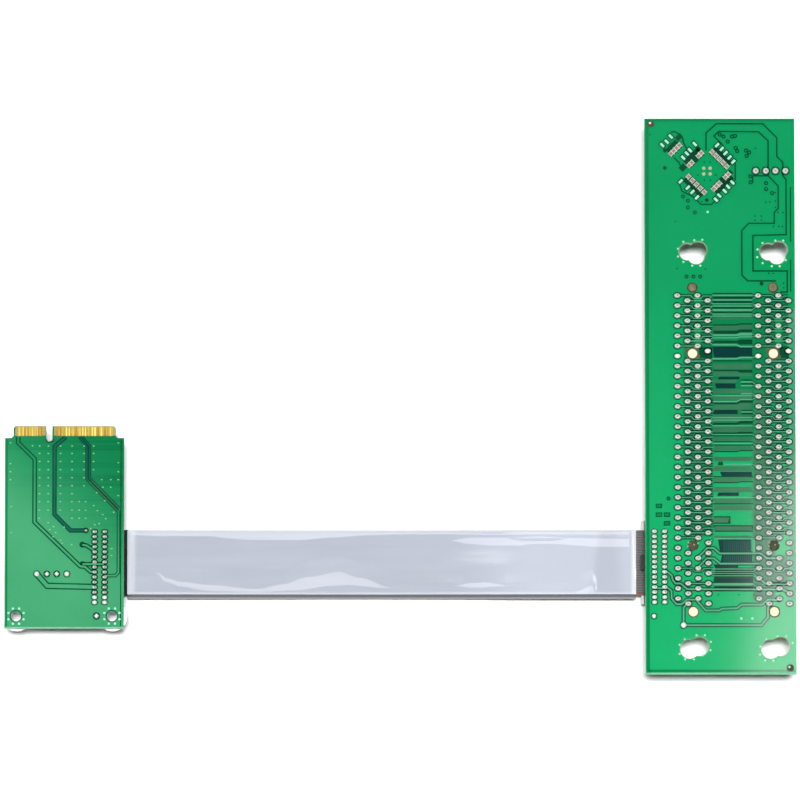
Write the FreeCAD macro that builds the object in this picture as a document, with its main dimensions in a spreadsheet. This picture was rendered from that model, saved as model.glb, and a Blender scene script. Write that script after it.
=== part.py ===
"""Adapter card: a mini card joined by a flat ribbon to a riser board with two bus slots.

The object lies solder side up. +X runs along the ribbon from the mini card to the riser,
+Y runs along the riser, Z = 0 is the surface that the slot mouths stand on.
"""
import FreeCAD, Part
import math
import os
import Sketcher

Vector = FreeCAD.Vector
UP = Vector(0, 0, 1)
# Turns a flat sketch to face along the ribbon
FACING_X = FreeCAD.Rotation(Vector(1, 1, 1), 120)
# Two faces or edges closer than this are the same one
TOUCH = 1e-6
START_RADIUS = 1.0

# Counts
CONTACT_ROWS = 62
KEY_ROWS = (11, 12)
SPARE_KEY_ROWS = (49, 50)
# Contact columns from the slot axis, in column pitches: outer and inner, by turns
EVEN_COLUMNS = (-1.5, 0.5)
ODD_COLUMNS = (-0.5, 1.5)
INNER_COLUMN = 0.5
PIN_ROWS = 13
PAD_ROWS = 15
RIBBON_CORES = 26
POWER_PINS = 4
FINGERS_LEFT = 8
FINGERS_RIGHT = 18
JOINT_SIDES = 5
PEG_SIDES = 12
CHIP_TURN = 45

# Driving dimensions in millimetres
SIZES = [
    ("riser_thickness", "1.6", "riser board thickness"),
    ("slot_to_plug", "0.25", "first slot housing to the plug beside it"),
    ("slot_pitch", "20.32", "first slot axis to the second"),
    ("slot_right_margin", "5.5", "second slot axis to the riser right edge"),
    ("riser_above", "83.5", "slot centre to the riser top edge"),
    ("riser_below", "56.5", "slot centre to the riser bottom edge"),
    ("mini_width", "30.0", "mini card width"),
    ("mini_length", "50.95", "mini card length over the tongue"),
    ("mini_thickness", "1.0", "mini card thickness"),
    ("board_gap", "130.9", "mini card right edge to the riser left edge"),
    ("slot_width", "9.2", "slot housing width"),
    ("slot_height", "11.2", "slot housing height, mouth to board"),
    ("slot_wall", "0.55", "slot housing side wall"),
    ("slot_mouth", "2.2", "wall around the card slot at the mouth"),
    ("slot_end", "3.685", "last contact row to the housing end"),
    ("cell_reach", "0.8", "contact chamber past the last contact row"),
    ("card_slot", "2.0", "card slot width"),
    ("lead_in", "0.45", "bevel along the card slot mouth"),
    ("key_wall", "2.6", "wall across the chamber at the key"),
    ("key_bar", "1.8", "bar across the card slot at the key"),
    ("contact_pitch", "1.27", "contact row pitch"),
    ("column_pitch", "2.54", "contact tail column pitch"),
    ("contact_width", "0.6", "contact blade width"),
    ("contact_thickness", "0.25", "contact blade thickness"),
    ("contact_tip", "0.9", "contact tip to the card slot plane"),
    ("contact_clearance", "0.25", "contact tip to the mouth wall"),
    ("peg_radius", "1.2", "locating peg radius"),
    ("peg_clearance", "0.15", "locating peg to its hole"),
    ("peg_offset", "2.005", "last contact row to the end peg"),
    ("upper_screw_radius", "2.1", "upper screw hole radius"),
    ("upper_screw_side", "1.2", "upper screw hole to the left of the slot axis"),
    ("lower_screw_radius", "2.35", "lower screw hole radius"),
    ("lower_screw_side", "0.95", "lower screw hole to the left of the slot axis"),
    ("lower_screw_edge", "6.4", "lower screw hole to the riser bottom edge"),
    ("lower_screw_dx", "2.45", "lower screw hole to its overlapping twin, across"),
    ("lower_screw_dy", "0.65", "lower screw hole to its overlapping twin, up"),
    ("upper_screw_gap", "7.4", "slot housing end to the upper screw hole"),
    ("upper_screw_dx", "2.75", "upper screw hole to its right twin, across"),
    ("upper_screw_dy", "0.45", "upper screw hole to its right twin, up"),
    ("upper_screw_low_dx", "2.2", "upper screw hole to its lower twin, across"),
    ("upper_screw_low_dy", "1.0", "upper screw hole to its lower twin, down"),
    ("cable_drop", "28.2", "slot centre down to the cable centre line"),
    ("riser_header_edge", "3.55", "riser left edge to the header centre line"),
    ("mini_header_edge", "6.1", "mini card right edge to the header centre line"),
    ("mini_header_up", "16.75", "mini card bottom edge to the cable centre line"),
    ("pin_pitch", "1.27", "header pin row pitch"),
    ("pin_column_pitch", "2.54", "header pin column pitch"),
    ("pin_size", "0.4", "header pin square"),
    ("pin_reach", "3.3", "header pin below its base"),
    ("base_height", "2.0", "header base height"),
    ("base_width", "5.0", "header base width"),
    ("base_margin", "0.8", "last pin row to the header base end"),
    ("plug_width", "7.2", "plug body width along the cable"),
    ("plug_length", "21.1", "plug body length across the cable"),
    ("plug_height", "4.5", "plug body height"),
    ("plug_channel", "1.3", "pin channel width in the plug body"),
    ("plug_channel_margin", "0.6", "last pin row to the pin channel end"),
    ("key_bump", "0.9", "plug key proud of the plug side"),
    ("key_bump_length", "3.75", "plug key length"),
    ("key_bump_height", "2.6", "plug key height"),
    ("blade_thickness", "0.2", "plug contact thickness"),
    ("blade_width", "0.7", "plug contact width"),
    ("blade_length", "3.6", "plug contact length above the ribbon"),
    ("clamp_lip", "0.6", "plug clamp bar proud of the plug cable side"),
    ("clamp_height", "2.1", "plug clamp bar height"),
    ("post_width", "3.0", "clamp post width along the cable"),
    ("post_length", "1.3", "clamp post length across the cable"),
    ("post_rise", "1.8", "clamp post height inside the plug body"),
    ("post_margin", "0.4", "ribbon edge to the clamp post"),
    ("post_clearance", "0.1", "clamp post to its pocket"),
    ("core_pitch", "0.635", "ribbon core pitch"),
    ("ribbon_thickness", "0.9", "ribbon thickness"),
    ("film_clearance", "0.05", "film to the ribbon"),
    ("film_wall", "0.1", "film thickness"),
    ("film_mini_gap", "0.9", "mini card edge to the film end"),
    ("film_riser_gap", "2.0", "riser edge to the film end"),
    ("tongue_width", "25.7", "mini card tongue width"),
    ("tongue_length", "3.0", "mini card tongue length"),
    ("tongue_bevel", "0.5", "bevel at the tongue shoulders and tips"),
    ("notch_width", "1.5", "tongue key notch width"),
    ("notch_depth", "3.9", "tongue key notch depth"),
    ("notch_left", "11.15", "mini card left edge to the notch centre"),
    ("finger_pitch", "0.8", "edge contact pitch"),
    ("finger_width", "0.6", "edge contact width"),
    ("finger_length", "2.4", "edge contact length"),
    ("finger_thickness", "0.04", "edge contact thickness"),
    ("finger_setback", "0.1", "tongue tip to the edge contacts"),
    ("notch_to_finger", "2.0", "notch centre to the nearest edge contact"),
    ("mini_hole_radius", "1.3", "mini card screw hole radius"),
    ("mini_hole_span", "24.2", "between the mini card screw holes"),
    ("mini_hole_up", "3.0", "mini card bottom edge to the screw holes"),
    ("spare_pad_left", "8.05", "mini card left edge to the first spare pad"),
    ("spare_pad_up", "13.6", "mini card bottom edge to the spare pads"),
    ("ground_pad_drop", "13.7", "cable centre line down to the single pad"),
    ("mini_pad_shift", "0.51", "header centre line to the mini card's single pad"),
    ("joint_radius", "0.8", "slot solder joint radius"),
    ("joint_height", "0.9", "slot solder joint height"),
    ("flat_joint_height", "0.4", "solder height over an empty hole"),
    ("pin_joint_length", "0.72", "header solder joint half length across the rows"),
    ("pin_joint_width", "0.56", "header solder joint half width along the rows"),
    ("pin_joint_height", "0.7", "header solder joint height"),
    ("power_right", "5.95", "riser right edge to the power header centre"),
    ("power_top", "13.35", "riser top edge to the power header and chip"),
    ("power_pitch", "2.5", "power pin pitch"),
    ("power_pin_size", "0.64", "power pin square"),
    ("power_pin_reach", "5.2", "power pin below its base"),
    ("power_side", "1.35", "outer power pin to the header side"),
    ("power_depth", "5.8", "power header depth"),
    ("power_base", "3.0", "power header base height"),
    ("power_wall", "1.1", "power header back wall"),
    ("power_height", "8.4", "power header height"),
    ("power_ramp", "0.6", "lock ramp proud of the back wall"),
    ("power_joint_radius", "0.85", "power solder joint radius"),
    ("chip_left", "15.85", "riser left edge to the chip centre"),
    ("chip_side", "10.0", "bridge chip side"),
    ("chip_height", "0.9", "bridge chip height"),
    ("chip_bevel", "0.15", "bridge chip edge bevel"),
    ("capacitor_ring", "4.3", "chip centre to the capacitor rows"),
    ("capacitor_group", "9.6", "chip centre to the outer capacitor group"),
    ("capacitor_length", "1.1", "capacitor length"),
    ("capacitor_width", "0.6", "capacitor width"),
    ("capacitor_height", "0.55", "capacitor height"),
]

# Places worked out from the sizes
PLACES = [
    ("plug_far_side", "=sizes.riser_header_edge + sizes.plug_width / 2"),
    ("slot_axis", "=plug_far_side + sizes.slot_to_plug + sizes.slot_width / 2"),
    ("riser_width", "=slot_axis + sizes.slot_pitch + sizes.slot_right_margin"),
    ("riser_length", "=sizes.riser_above + sizes.riser_below"),
    ("total_width", "=sizes.mini_width + sizes.board_gap + riser_width"),
    ("mini_left", "=-total_width / 2"),
    ("riser_left", "=total_width / 2 - riser_width"),
    ("riser_bottom", "=-riser_length / 2"),
    ("slot_centre", "=riser_bottom + sizes.riser_below"),
    ("slot_field", f"={CONTACT_ROWS - 1} * sizes.contact_pitch"),
    ("slot_length", "=slot_field + 2 * sizes.slot_end"),
    ("key_centre", f"=slot_field / 2 - {sum(KEY_ROWS) / 2} * sizes.contact_pitch"),
    ("end_peg", "=slot_field / 2 + sizes.peg_offset"),
    ("cable_centre", "=slot_centre - sizes.cable_drop"),
    ("mini_bottom", "=cable_centre - sizes.mini_header_up"),
    ("plug_stack", "=sizes.plug_height + sizes.ribbon_thickness + sizes.clamp_height"),
    ("stack", "=sizes.base_height + plug_stack"),
    ("mini_header", "=mini_left + sizes.mini_width - sizes.mini_header_edge"),
    ("riser_header", "=riser_left + sizes.riser_header_edge"),
    ("riser_plug_floor", "=sizes.slot_height - stack"),
    ("ribbon_width", f"={RIBBON_CORES} * sizes.core_pitch"),
    ("ribbon_lift", "=sizes.clamp_height + sizes.ribbon_thickness / 2"),
    ("pin_field", f"={PIN_ROWS - 1} * sizes.pin_pitch"),
    ("power_field", f"={POWER_PINS - 1} * sizes.power_pitch"),
    ("tongue_left", "=(sizes.mini_width - sizes.tongue_width) / 2"),
    ("shoulder", "=sizes.mini_length - sizes.tongue_length"),
    ("notch_floor", "=sizes.mini_length - sizes.notch_depth + sizes.notch_width / 2"),
    ("power_x", "=riser_left + riser_width - sizes.power_right"),
    ("power_y", "=riser_bottom + riser_length - sizes.power_top"),
    ("chip_x", "=riser_left + sizes.chip_left"),
]

# Ribbon route between the plugs, X and Z of its bends
ROUTE_BENDS = [(-57.0, "mini"), (-28.0, 1.35), (8.0, 1.2), (41.0, "riser")]
BEND_SHARE = 0.45

# Capacitor rows: outward direction in degrees, distance from the chip, places along the row
CAPACITOR_ROWS = [
    (135, "capacitor_ring", (-2.2, -1.2, 1.2, 2.2)),
    (45, "capacitor_ring", (-2.6, -1.3, 0.0, 1.3, 2.6)),
    (225, "capacitor_ring", (-3.2, -1.8, -0.4, 1.0, 2.4)),
    (315, "capacitor_ring", (-3.2, -2.2, 0.0, 1.0, 2.0)),
    (135, "capacitor_group", (-3.3, -2.3, -1.3, -0.3)),
]

doc = FreeCAD.newDocument("adapter_card")
sizes = doc.addObject("Spreadsheet::Sheet", "sizes")
for row, (alias, value, meaning) in enumerate(SIZES, start=1):
    sizes.set(f"A{row}", meaning)
    sizes.set(f"B{row}", value)
    sizes.setAlias(f"B{row}", alias)
doc.recompute()
places = doc.addObject("Spreadsheet::Sheet", "places")
for row, (alias, formula) in enumerate(PLACES, start=1):
    places.setAlias(f"B{row}", alias)
for row, (alias, formula) in enumerate(PLACES, start=1):
    places.set(f"A{row}", alias)
    places.set(f"B{row}", formula)
doc.recompute()

nodes = []


def size(alias):
    return float(sizes.get(alias))


def place(alias):
    return float(places.get(alias))


def origin_feature(body, role):
    return next(item for item in body.Origin.OriginFeatures if item.Role == role)


def new_body(label, x, y, z, turn=0.0):
    """A body of its own node, set down at a place given by expressions."""
    body = doc.addObject("PartDesign::Body", label)
    body.Label = label
    body.Placement = FreeCAD.Placement(Vector(), FreeCAD.Rotation(UP, turn))
    body.setExpression("Placement.Base.x", x)
    body.setExpression("Placement.Base.y", y)
    body.setExpression("Placement.Base.z", z)
    nodes.append(body)
    return body


def new_sketch(body, name, lift="0", role="XY_Plane"):
    sketch = body.newObject("Sketcher::SketchObject", name)
    sketch.AttachmentSupport = [(origin_feature(body, role), "")]
    sketch.MapMode = "FlatFace"
    sketch.setExpression("AttachmentOffset.Base.z", lift)
    return sketch


def bind(sketch, constraint, expression):
    index = sketch.addConstraint(constraint)
    sketch.setExpression(f"Constraints[{index}]", expression)


def add_outline(sketch, corners):
    """A closed outline of straight lines, each corner a pair of expressions."""
    first = sketch.GeometryCount
    count = len(corners)
    turns = [2 * math.pi * corner / count for corner in range(count)]
    start = [Vector(math.cos(turn), math.sin(turn), 0) for turn in turns]
    for corner in range(count):
        sketch.addGeometry(Part.LineSegment(start[corner], start[(corner + 1) % count]), False)
    for corner in range(count):
        following = first + (corner + 1) % count
        sketch.addConstraint(Sketcher.Constraint("Coincident", first + corner, 2, following, 1))
    for corner, (x, y) in enumerate(corners):
        line = first + corner
        bind(sketch, Sketcher.Constraint("DistanceX", -1, 1, line, 1, start[corner].x), x)
        bind(sketch, Sketcher.Constraint("DistanceY", -1, 1, line, 1, start[corner].y), y)


def add_rectangle(sketch, left, low, right, high):
    add_outline(sketch, [(left, low), (right, low), (right, high), (left, high)])


def add_centred(sketch, width, length):
    half_width = f"({width}) / 2"
    half_length = f"({length}) / 2"
    add_rectangle(sketch, f"-{half_width}", f"-{half_length}", half_width, half_length)


def add_circle(sketch, x, y, radius):
    circle = sketch.addGeometry(Part.Circle(Vector(), UP, START_RADIUS), False)
    bind(sketch, Sketcher.Constraint("DistanceX", -1, 1, circle, 3, 0.0), x)
    bind(sketch, Sketcher.Constraint("DistanceY", -1, 1, circle, 3, 0.0), y)
    bind(sketch, Sketcher.Constraint("Radius", circle, START_RADIUS), radius)


def add_polygon(sketch, x, y, radius, sides):
    turns = [2 * math.pi * corner / sides for corner in range(sides)]
    add_outline(
        sketch,
        [(f"{x} + {radius} * {math.cos(turn)}", f"{y} + {radius} * {math.sin(turn)}") for turn in turns],
    )


def pad(body, sketch, length, both_ways=False):
    feature = body.newObject("PartDesign::Pad", f"{sketch.Name}_pad")
    feature.Profile = sketch
    feature.SideType = "Symmetric" if both_ways else "One side"
    feature.setExpression("Length", length)
    return feature


def pocket(body, sketch, depth, upward=False):
    feature = body.newObject("PartDesign::Pocket", f"{sketch.Name}_pocket")
    feature.Profile = sketch
    feature.Type = "Length"
    feature.Reversed = upward
    feature.setExpression("Length", depth)
    return feature


def pattern(body, feature, role, length, count):
    copies = body.newObject("PartDesign::LinearPattern", f"{feature.Name}_row")
    copies.Originals = [feature]
    copies.Direction = (origin_feature(body, role), [""])
    copies.setExpression("Length", length)
    copies.Occurrences = count
    body.Tip = copies
    return copies


def bevel(body, base, edges, amount):
    feature = body.newObject("PartDesign::Chamfer", f"{body.Name}_bevel")
    feature.Base = (base, edges)
    feature.setExpression("Size", amount)
    return feature


def edges_where(shape, test):
    """Names of the edges whose middle point passes a test."""
    numbered = enumerate(shape.Edges, start=1)
    return [f"Edge{number}" for number, edge in numbered if test(edge.CenterOfMass)]


def new_group(label, shapes, x, y, z):
    """A node of separate solids that repeat, set down at one place."""
    group = doc.addObject("Part::Feature", label)
    group.Label = label
    group.Shape = Part.makeCompound(shapes)
    group.Placement = FreeCAD.Placement(Vector(x, y, z), FreeCAD.Rotation())
    nodes.append(group)
    return group


def block(width, length, height, centre):
    """A box with its lower face centred on a point."""
    corner = centre - Vector(width / 2, length / 2, 0)
    return Part.makeBox(width, length, height, corner)


def solder_joint(half_length, half_width, height, centre):
    """A faceted cone of solder standing on a board."""
    angles = [2 * math.pi * side / JOINT_SIDES for side in range(JOINT_SIDES)]
    rim = [Vector(half_length * math.cos(a), half_width * math.sin(a), 0) for a in angles]
    tip = Vector(0, 0, height)
    faces = [Part.Face(Part.makePolygon(rim + rim[:1]))]
    for side in range(JOINT_SIDES):
        first = rim[side]
        second = rim[(side + 1) % JOINT_SIDES]
        faces.append(Part.Face(Part.makePolygon([first, second, tip, first])))
    joint = Part.Solid(Part.Shell(faces))
    if joint.Volume < 0:
        joint.reverse()
    joint.translate(centre)
    return joint


def make_riser_board():
    body = new_body("riser_board", "places.riser_left", "places.riser_bottom", "sizes.slot_height")
    outline = new_sketch(body, "riser_outline")
    add_rectangle(outline, "0", "0", "places.riser_width", "places.riser_length")
    pad(body, outline, "sizes.riser_thickness")

    pegs = new_sketch(body, "peg_holes")
    first_screws = new_sketch(body, "first_screw_holes")
    second_screws = new_sketch(body, "second_screw_holes")
    third_screws = new_sketch(body, "third_screw_holes")
    peg_hole = "sizes.peg_radius + sizes.peg_clearance"
    low = "sizes.lower_screw_edge"
    low_radius = "sizes.lower_screw_radius"
    high = "sizes.riser_below + places.slot_length / 2 + sizes.upper_screw_gap"
    high_radius = "sizes.upper_screw_radius"
    for axis in ("places.slot_axis", "places.slot_axis + sizes.slot_pitch"):
        for along in ("places.end_peg", "-places.end_peg", "places.key_centre", "-places.key_centre"):
            add_circle(pegs, axis, f"sizes.riser_below + {along}", peg_hole)
        low_screw = f"{axis} - sizes.lower_screw_side"
        low_twin = (f"{low_screw} + sizes.lower_screw_dx", f"{low} + sizes.lower_screw_dy")
        add_circle(first_screws, low_screw, low, low_radius)
        add_circle(second_screws, *low_twin, low_radius)
        high_screw = f"{axis} - sizes.upper_screw_side"
        high_twin = (f"{high_screw} + sizes.upper_screw_dx", f"{high} + sizes.upper_screw_dy")
        under_twin = (f"{high_screw} + sizes.upper_screw_low_dx", f"{high} - sizes.upper_screw_low_dy")
        add_circle(first_screws, high_screw, high, high_radius)
        add_circle(second_screws, *high_twin, high_radius)
        add_circle(third_screws, *under_twin, high_radius)
    for holes in (pegs, first_screws, second_screws, third_screws):
        pocket(body, holes, "sizes.riser_thickness", upward=True)


def slot_sites():
    """Each plated hole of a slot: row, column from the slot axis, and if it holds a contact."""
    for row in range(CONTACT_ROWS):
        at_peg = row in KEY_ROWS + SPARE_KEY_ROWS
        for column in EVEN_COLUMNS if row % 2 == 0 else ODD_COLUMNS:
            if at_peg and abs(column) == INNER_COLUMN:
                continue
            yield row, column, row not in KEY_ROWS


def site_centre(row, column):
    along = place("slot_field") / 2 - row * size("contact_pitch")
    return Vector(column * size("column_pitch"), along, 0)


def make_slot_housing(label, axis):
    """A moulded housing, mouth down: hollow towards the board, with a key wall and two pegs."""
    body = new_body(label, axis, "places.slot_centre", "0")
    outline = new_sketch(body, f"{label}_outline")
    add_centred(outline, "sizes.slot_width", "places.slot_length")
    pad(body, outline, "sizes.slot_height")

    reach = "places.slot_field / 2 + sizes.cell_reach"
    chamber_half = "(sizes.slot_width / 2 - sizes.slot_wall)"
    card_half = "(sizes.card_slot / 2)"
    chamber = new_sketch(body, f"{label}_chamber", "sizes.slot_height")
    card_slot = new_sketch(body, f"{label}_card_slot")
    two_sides_of_key(chamber, chamber_half, reach, "sizes.key_wall / 2")
    two_sides_of_key(card_slot, card_half, reach, "sizes.key_bar / 2")
    pocket(body, chamber, "sizes.slot_height - sizes.slot_mouth")
    mouth = pocket(body, card_slot, "sizes.slot_mouth", upward=True)
    doc.recompute()
    slot_half = size("card_slot") / 2

    def along_mouth(middle):
        return abs(middle.z) < TOUCH and abs(abs(middle.x) - slot_half) < TOUCH

    bevel(body, mouth, edges_where(mouth.Shape, along_mouth), "sizes.lead_in")

    pegs = new_sketch(body, f"{label}_pegs", "sizes.slot_height")
    add_polygon(pegs, "0", "places.key_centre", "sizes.peg_radius", PEG_SIDES)
    add_polygon(pegs, "0", "-places.end_peg", "sizes.peg_radius", PEG_SIDES)
    body.Tip = pad(body, pegs, "sizes.riser_thickness")


def two_sides_of_key(sketch, half, reach, half_wall):
    """Two rectangles that leave a wall between them where the card is keyed."""
    add_rectangle(sketch, f"-{half}", f"-({reach})", half, f"places.key_centre - {half_wall}")
    add_rectangle(sketch, f"-{half}", f"places.key_centre + {half_wall}", half, reach)


def make_slot_contacts(label, axis):
    """Spring blades: each runs from its tail at the board to a tip beside the card slot."""
    half = size("contact_thickness") / 2
    top = size("slot_height")
    bottom = size("slot_mouth") + size("contact_clearance")
    width = size("contact_width")
    blades = []
    for row, column, has_contact in slot_sites():
        if not has_contact:
            continue
        tail = site_centre(row, column)
        tip = math.copysign(size("contact_tip"), column)
        start = tail.y - width / 2
        corners = [
            Vector(tail.x - half, start, top),
            Vector(tail.x + half, start, top),
            Vector(tip + half, start, bottom),
            Vector(tip - half, start, bottom),
        ]
        side = Part.Face(Part.makePolygon(corners + corners[:1]))
        blades.append(side.extrude(Vector(0, width, 0)))
    new_group(label, blades, axis, place("slot_centre"), 0)


def make_slot_joints(label, axis):
    joints = []
    radius = size("joint_radius")
    for row, column, has_contact in slot_sites():
        height = size("joint_height") if has_contact else size("flat_joint_height")
        joints.append(solder_joint(radius, radius, height, site_centre(row, column)))
    top = size("slot_height") + size("riser_thickness")
    new_group(label, joints, axis, place("slot_centre"), top)


def make_header_base(label, x, underside):
    """The moulded base of a pin strip under a board."""
    body = new_body(label, x, "places.cable_centre", f"{underside} - sizes.base_height")
    outline = new_sketch(body, f"{label}_outline")
    add_centred(outline, "sizes.base_width", "places.pin_field + 2 * sizes.base_margin")
    pad(body, outline, "sizes.base_height")


def make_header_pins(label, x, underside):
    """Two columns of square pins that stand out of the base, from its face down."""
    bottom = f"{underside} - sizes.base_height - sizes.pin_reach"
    body = new_body(label, x, "places.cable_centre", bottom)
    squares = new_sketch(body, f"{label}_squares")
    half = "sizes.pin_size / 2"
    low = f"-places.pin_field / 2 - {half}"
    high = f"-places.pin_field / 2 + {half}"
    for side in (-1, 1):
        column = f"{side} * sizes.pin_column_pitch / 2"
        add_rectangle(squares, f"{column} - {half}", low, f"{column} + {half}", high)
    first_pins = pad(body, squares, "sizes.pin_reach")
    pattern(body, first_pins, "Y_Axis", "places.pin_field", PIN_ROWS)


def make_plug_body(label, x, floor, turn):
    """A plug body with two pin channels, a key on its cable side and pockets for clamp posts."""
    seat = f"{floor} + sizes.clamp_height + sizes.ribbon_thickness"
    body = new_body(label, x, "places.cable_centre", seat, turn)
    outline = new_sketch(body, f"{label}_outline")
    side = "sizes.plug_width / 2"
    key_end = "sizes.key_bump_length / 2"
    add_centred(outline, "sizes.plug_width", "sizes.plug_length")
    pad(body, outline, "sizes.plug_height")
    key = new_sketch(body, f"{label}_key")
    add_rectangle(key, side, f"-{key_end}", f"{side} + sizes.key_bump", key_end)
    pad(body, key, "sizes.key_bump_height")

    channels = new_sketch(body, f"{label}_channels")
    end = "(places.pin_field / 2 + sizes.plug_channel_margin)"
    half = "sizes.plug_channel / 2"
    for side_of_middle in (-1, 1):
        column = f"{side_of_middle} * sizes.pin_column_pitch / 2"
        add_rectangle(channels, f"{column} - {half}", f"-{end}", f"{column} + {half}", end)
    pocket(body, channels, "sizes.plug_height", upward=True)
    posts = new_sketch(body, f"{label}_post_pockets")
    add_posts(posts, "sizes.post_clearance")
    body.Tip = pocket(body, posts, "sizes.post_rise + sizes.post_clearance", upward=True)


def make_plug_clamp(label, x, floor, turn):
    """The bar that presses the ribbon into the plug body, with a post at each end."""
    body = new_body(label, x, "places.cable_centre", floor, turn)
    outline = new_sketch(body, f"{label}_outline")
    side = "sizes.plug_width / 2"
    end = "sizes.plug_length / 2"
    add_rectangle(outline, f"-{side}", f"-{end}", f"{side} + sizes.clamp_lip", end)
    pad(body, outline, "sizes.clamp_height")
    posts = new_sketch(body, f"{label}_posts", "sizes.clamp_height")
    add_posts(posts, "0")
    body.Tip = pad(body, posts, "sizes.ribbon_thickness + sizes.post_rise")


def add_posts(sketch, clearance):
    half = f"(sizes.post_width / 2 + {clearance})"
    near = f"(places.ribbon_width / 2 + sizes.post_margin - {clearance})"
    far = f"(places.ribbon_width / 2 + sizes.post_margin + sizes.post_length + {clearance})"
    add_rectangle(sketch, f"-{half}", near, half, far)
    add_rectangle(sketch, f"-{half}", f"-{far}", half, f"-{near}")


def make_plug_contacts(label, x, floor):
    """Blades that stand on the ribbon and press on the side of each header pin."""
    thickness = size("blade_thickness")
    blades = []
    for side in (-1, 1):
        across = side * (size("pin_column_pitch") + size("pin_size") + thickness) / 2
        for row in range(PIN_ROWS):
            along = row * size("pin_pitch") - place("pin_field") / 2
            foot = Vector(across, along, 0)
            blades.append(block(thickness, size("blade_width"), size("blade_length"), foot))
    seat = floor + size("clamp_height") + size("ribbon_thickness")
    new_group(label, blades, x, place("cable_centre"), seat)


def header_joints(single_pad):
    """Two columns of joints, the last rows without pins, and a single pad below them."""
    length = size("pin_joint_length")
    width = size("pin_joint_width")
    radius = size("joint_radius")
    flat = size("flat_joint_height")
    joints = []
    for side in (-1, 1):
        across = side * size("pin_column_pitch") / 2
        for row in range(PAD_ROWS):
            along = place("pin_field") / 2 - row * size("pin_pitch")
            height = size("pin_joint_height") if row < PIN_ROWS else flat
            joints.append(solder_joint(length, width, height, Vector(across, along, 0)))
    joints.append(solder_joint(radius, radius, flat, Vector(single_pad, -size("ground_pad_drop"), 0)))
    return joints


def make_connector(name, header, underside, floor, turn):
    """Pin strip, plug body and clamp bar under one board."""
    make_header_base(f"{name}_header_base", header, underside)
    make_header_pins(f"{name}_header_pins", header, underside)
    make_plug_body(f"{name}_plug_body", header, floor, turn)
    make_plug_clamp(f"{name}_plug_clamp", header, floor, turn)


def route_points():
    """The ribbon centre line from the far side of one plug to the far side of the other."""
    lift = place("ribbon_lift")
    levels = {"mini": lift, "riser": place("riser_plug_floor") + lift}
    half_plug = size("plug_width") / 2
    first = (place("mini_header") - half_plug, "mini")
    last = (place("riser_header") + half_plug, "riser")
    points = [first, *ROUTE_BENDS, last]
    return [Vector(x, place("cable_centre"), levels.get(z, z)) for x, z in points]


def route_wire(points, start, finish):
    """Straight runs joined by tangent arcs, cut to a start and a finish on the end runs."""
    edges = []
    radii = []
    last = start
    for before, corner, after in zip(points, points[1:], points[2:]):
        inward = corner - before
        outward = after - corner
        half_turn = inward.getAngle(outward) / 2
        reach = BEND_SHARE * min(inward.Length, outward.Length)
        radius = reach / math.tan(half_turn)
        entry = corner - inward.normalize() * reach
        leave = corner + outward.normalize() * reach
        towards = (entry - corner) + (leave - corner)
        towards.normalize()
        middle = corner + towards * (radius / math.cos(half_turn) - radius)
        edges.append(Part.LineSegment(last, entry).toShape())
        edges.append(Part.Arc(entry, middle, leave).toShape())
        radii.append(round(radius))
        last = leave
    edges.append(Part.LineSegment(last, finish).toShape())
    return Part.Wire(edges), radii


def sweep_flat(label, wire, start, width, thickness):
    """A flat section swept along a wire."""
    section = doc.addObject("Sketcher::SketchObject", f"{label}_section")
    add_centred(section, width, thickness)
    section.Placement = FreeCAD.Placement(start, FACING_X)
    spine = doc.addObject("Part::Feature", f"{label}_spine")
    spine.Shape = wire
    sweep = doc.addObject("Part::Sweep", label)
    sweep.Sections = [section]
    sweep.Spine = (spine, [f"Edge{number}" for number in range(1, len(wire.Edges) + 1)])
    sweep.Solid = True
    sweep.Label = label
    return sweep


def make_cable():
    points = route_points()
    wire, radii = route_wire(points, points[0], points[-1])
    ribbon = sweep_flat("ribbon_cable", wire, points[0], "places.ribbon_width", "sizes.ribbon_thickness")
    nodes.append(ribbon)

    mini_edge = place("mini_left") + size("mini_width")
    start = Vector(mini_edge + size("film_mini_gap"), points[0].y, points[0].z)
    finish = Vector(place("riser_left") - size("film_riser_gap"), points[-1].y, points[-1].z)
    film_wire = route_wire(points, start, finish)[0]
    layers = []
    for name, spare in (
        ("film_outside", "2 * (sizes.film_clearance + sizes.film_wall)"),
        ("film_inside", "2 * sizes.film_clearance"),
    ):
        width = f"places.ribbon_width + {spare}"
        thickness = f"sizes.ribbon_thickness + {spare}"
        layers.append(sweep_flat(name, film_wire, start, width, thickness))
    film = doc.addObject("Part::Cut", "cable_film")
    film.Label = "cable_film"
    film.Base, film.Tool = layers
    nodes.append(film)
    doc.recompute()
    swept = place("ribbon_width") * size("ribbon_thickness") * wire.Length
    print("ribbon length", round(wire.Length, 2), "bend radii", radii)
    print("ribbon volume", round(ribbon.Shape.Volume, 2), "section x length", round(swept, 2))


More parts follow.
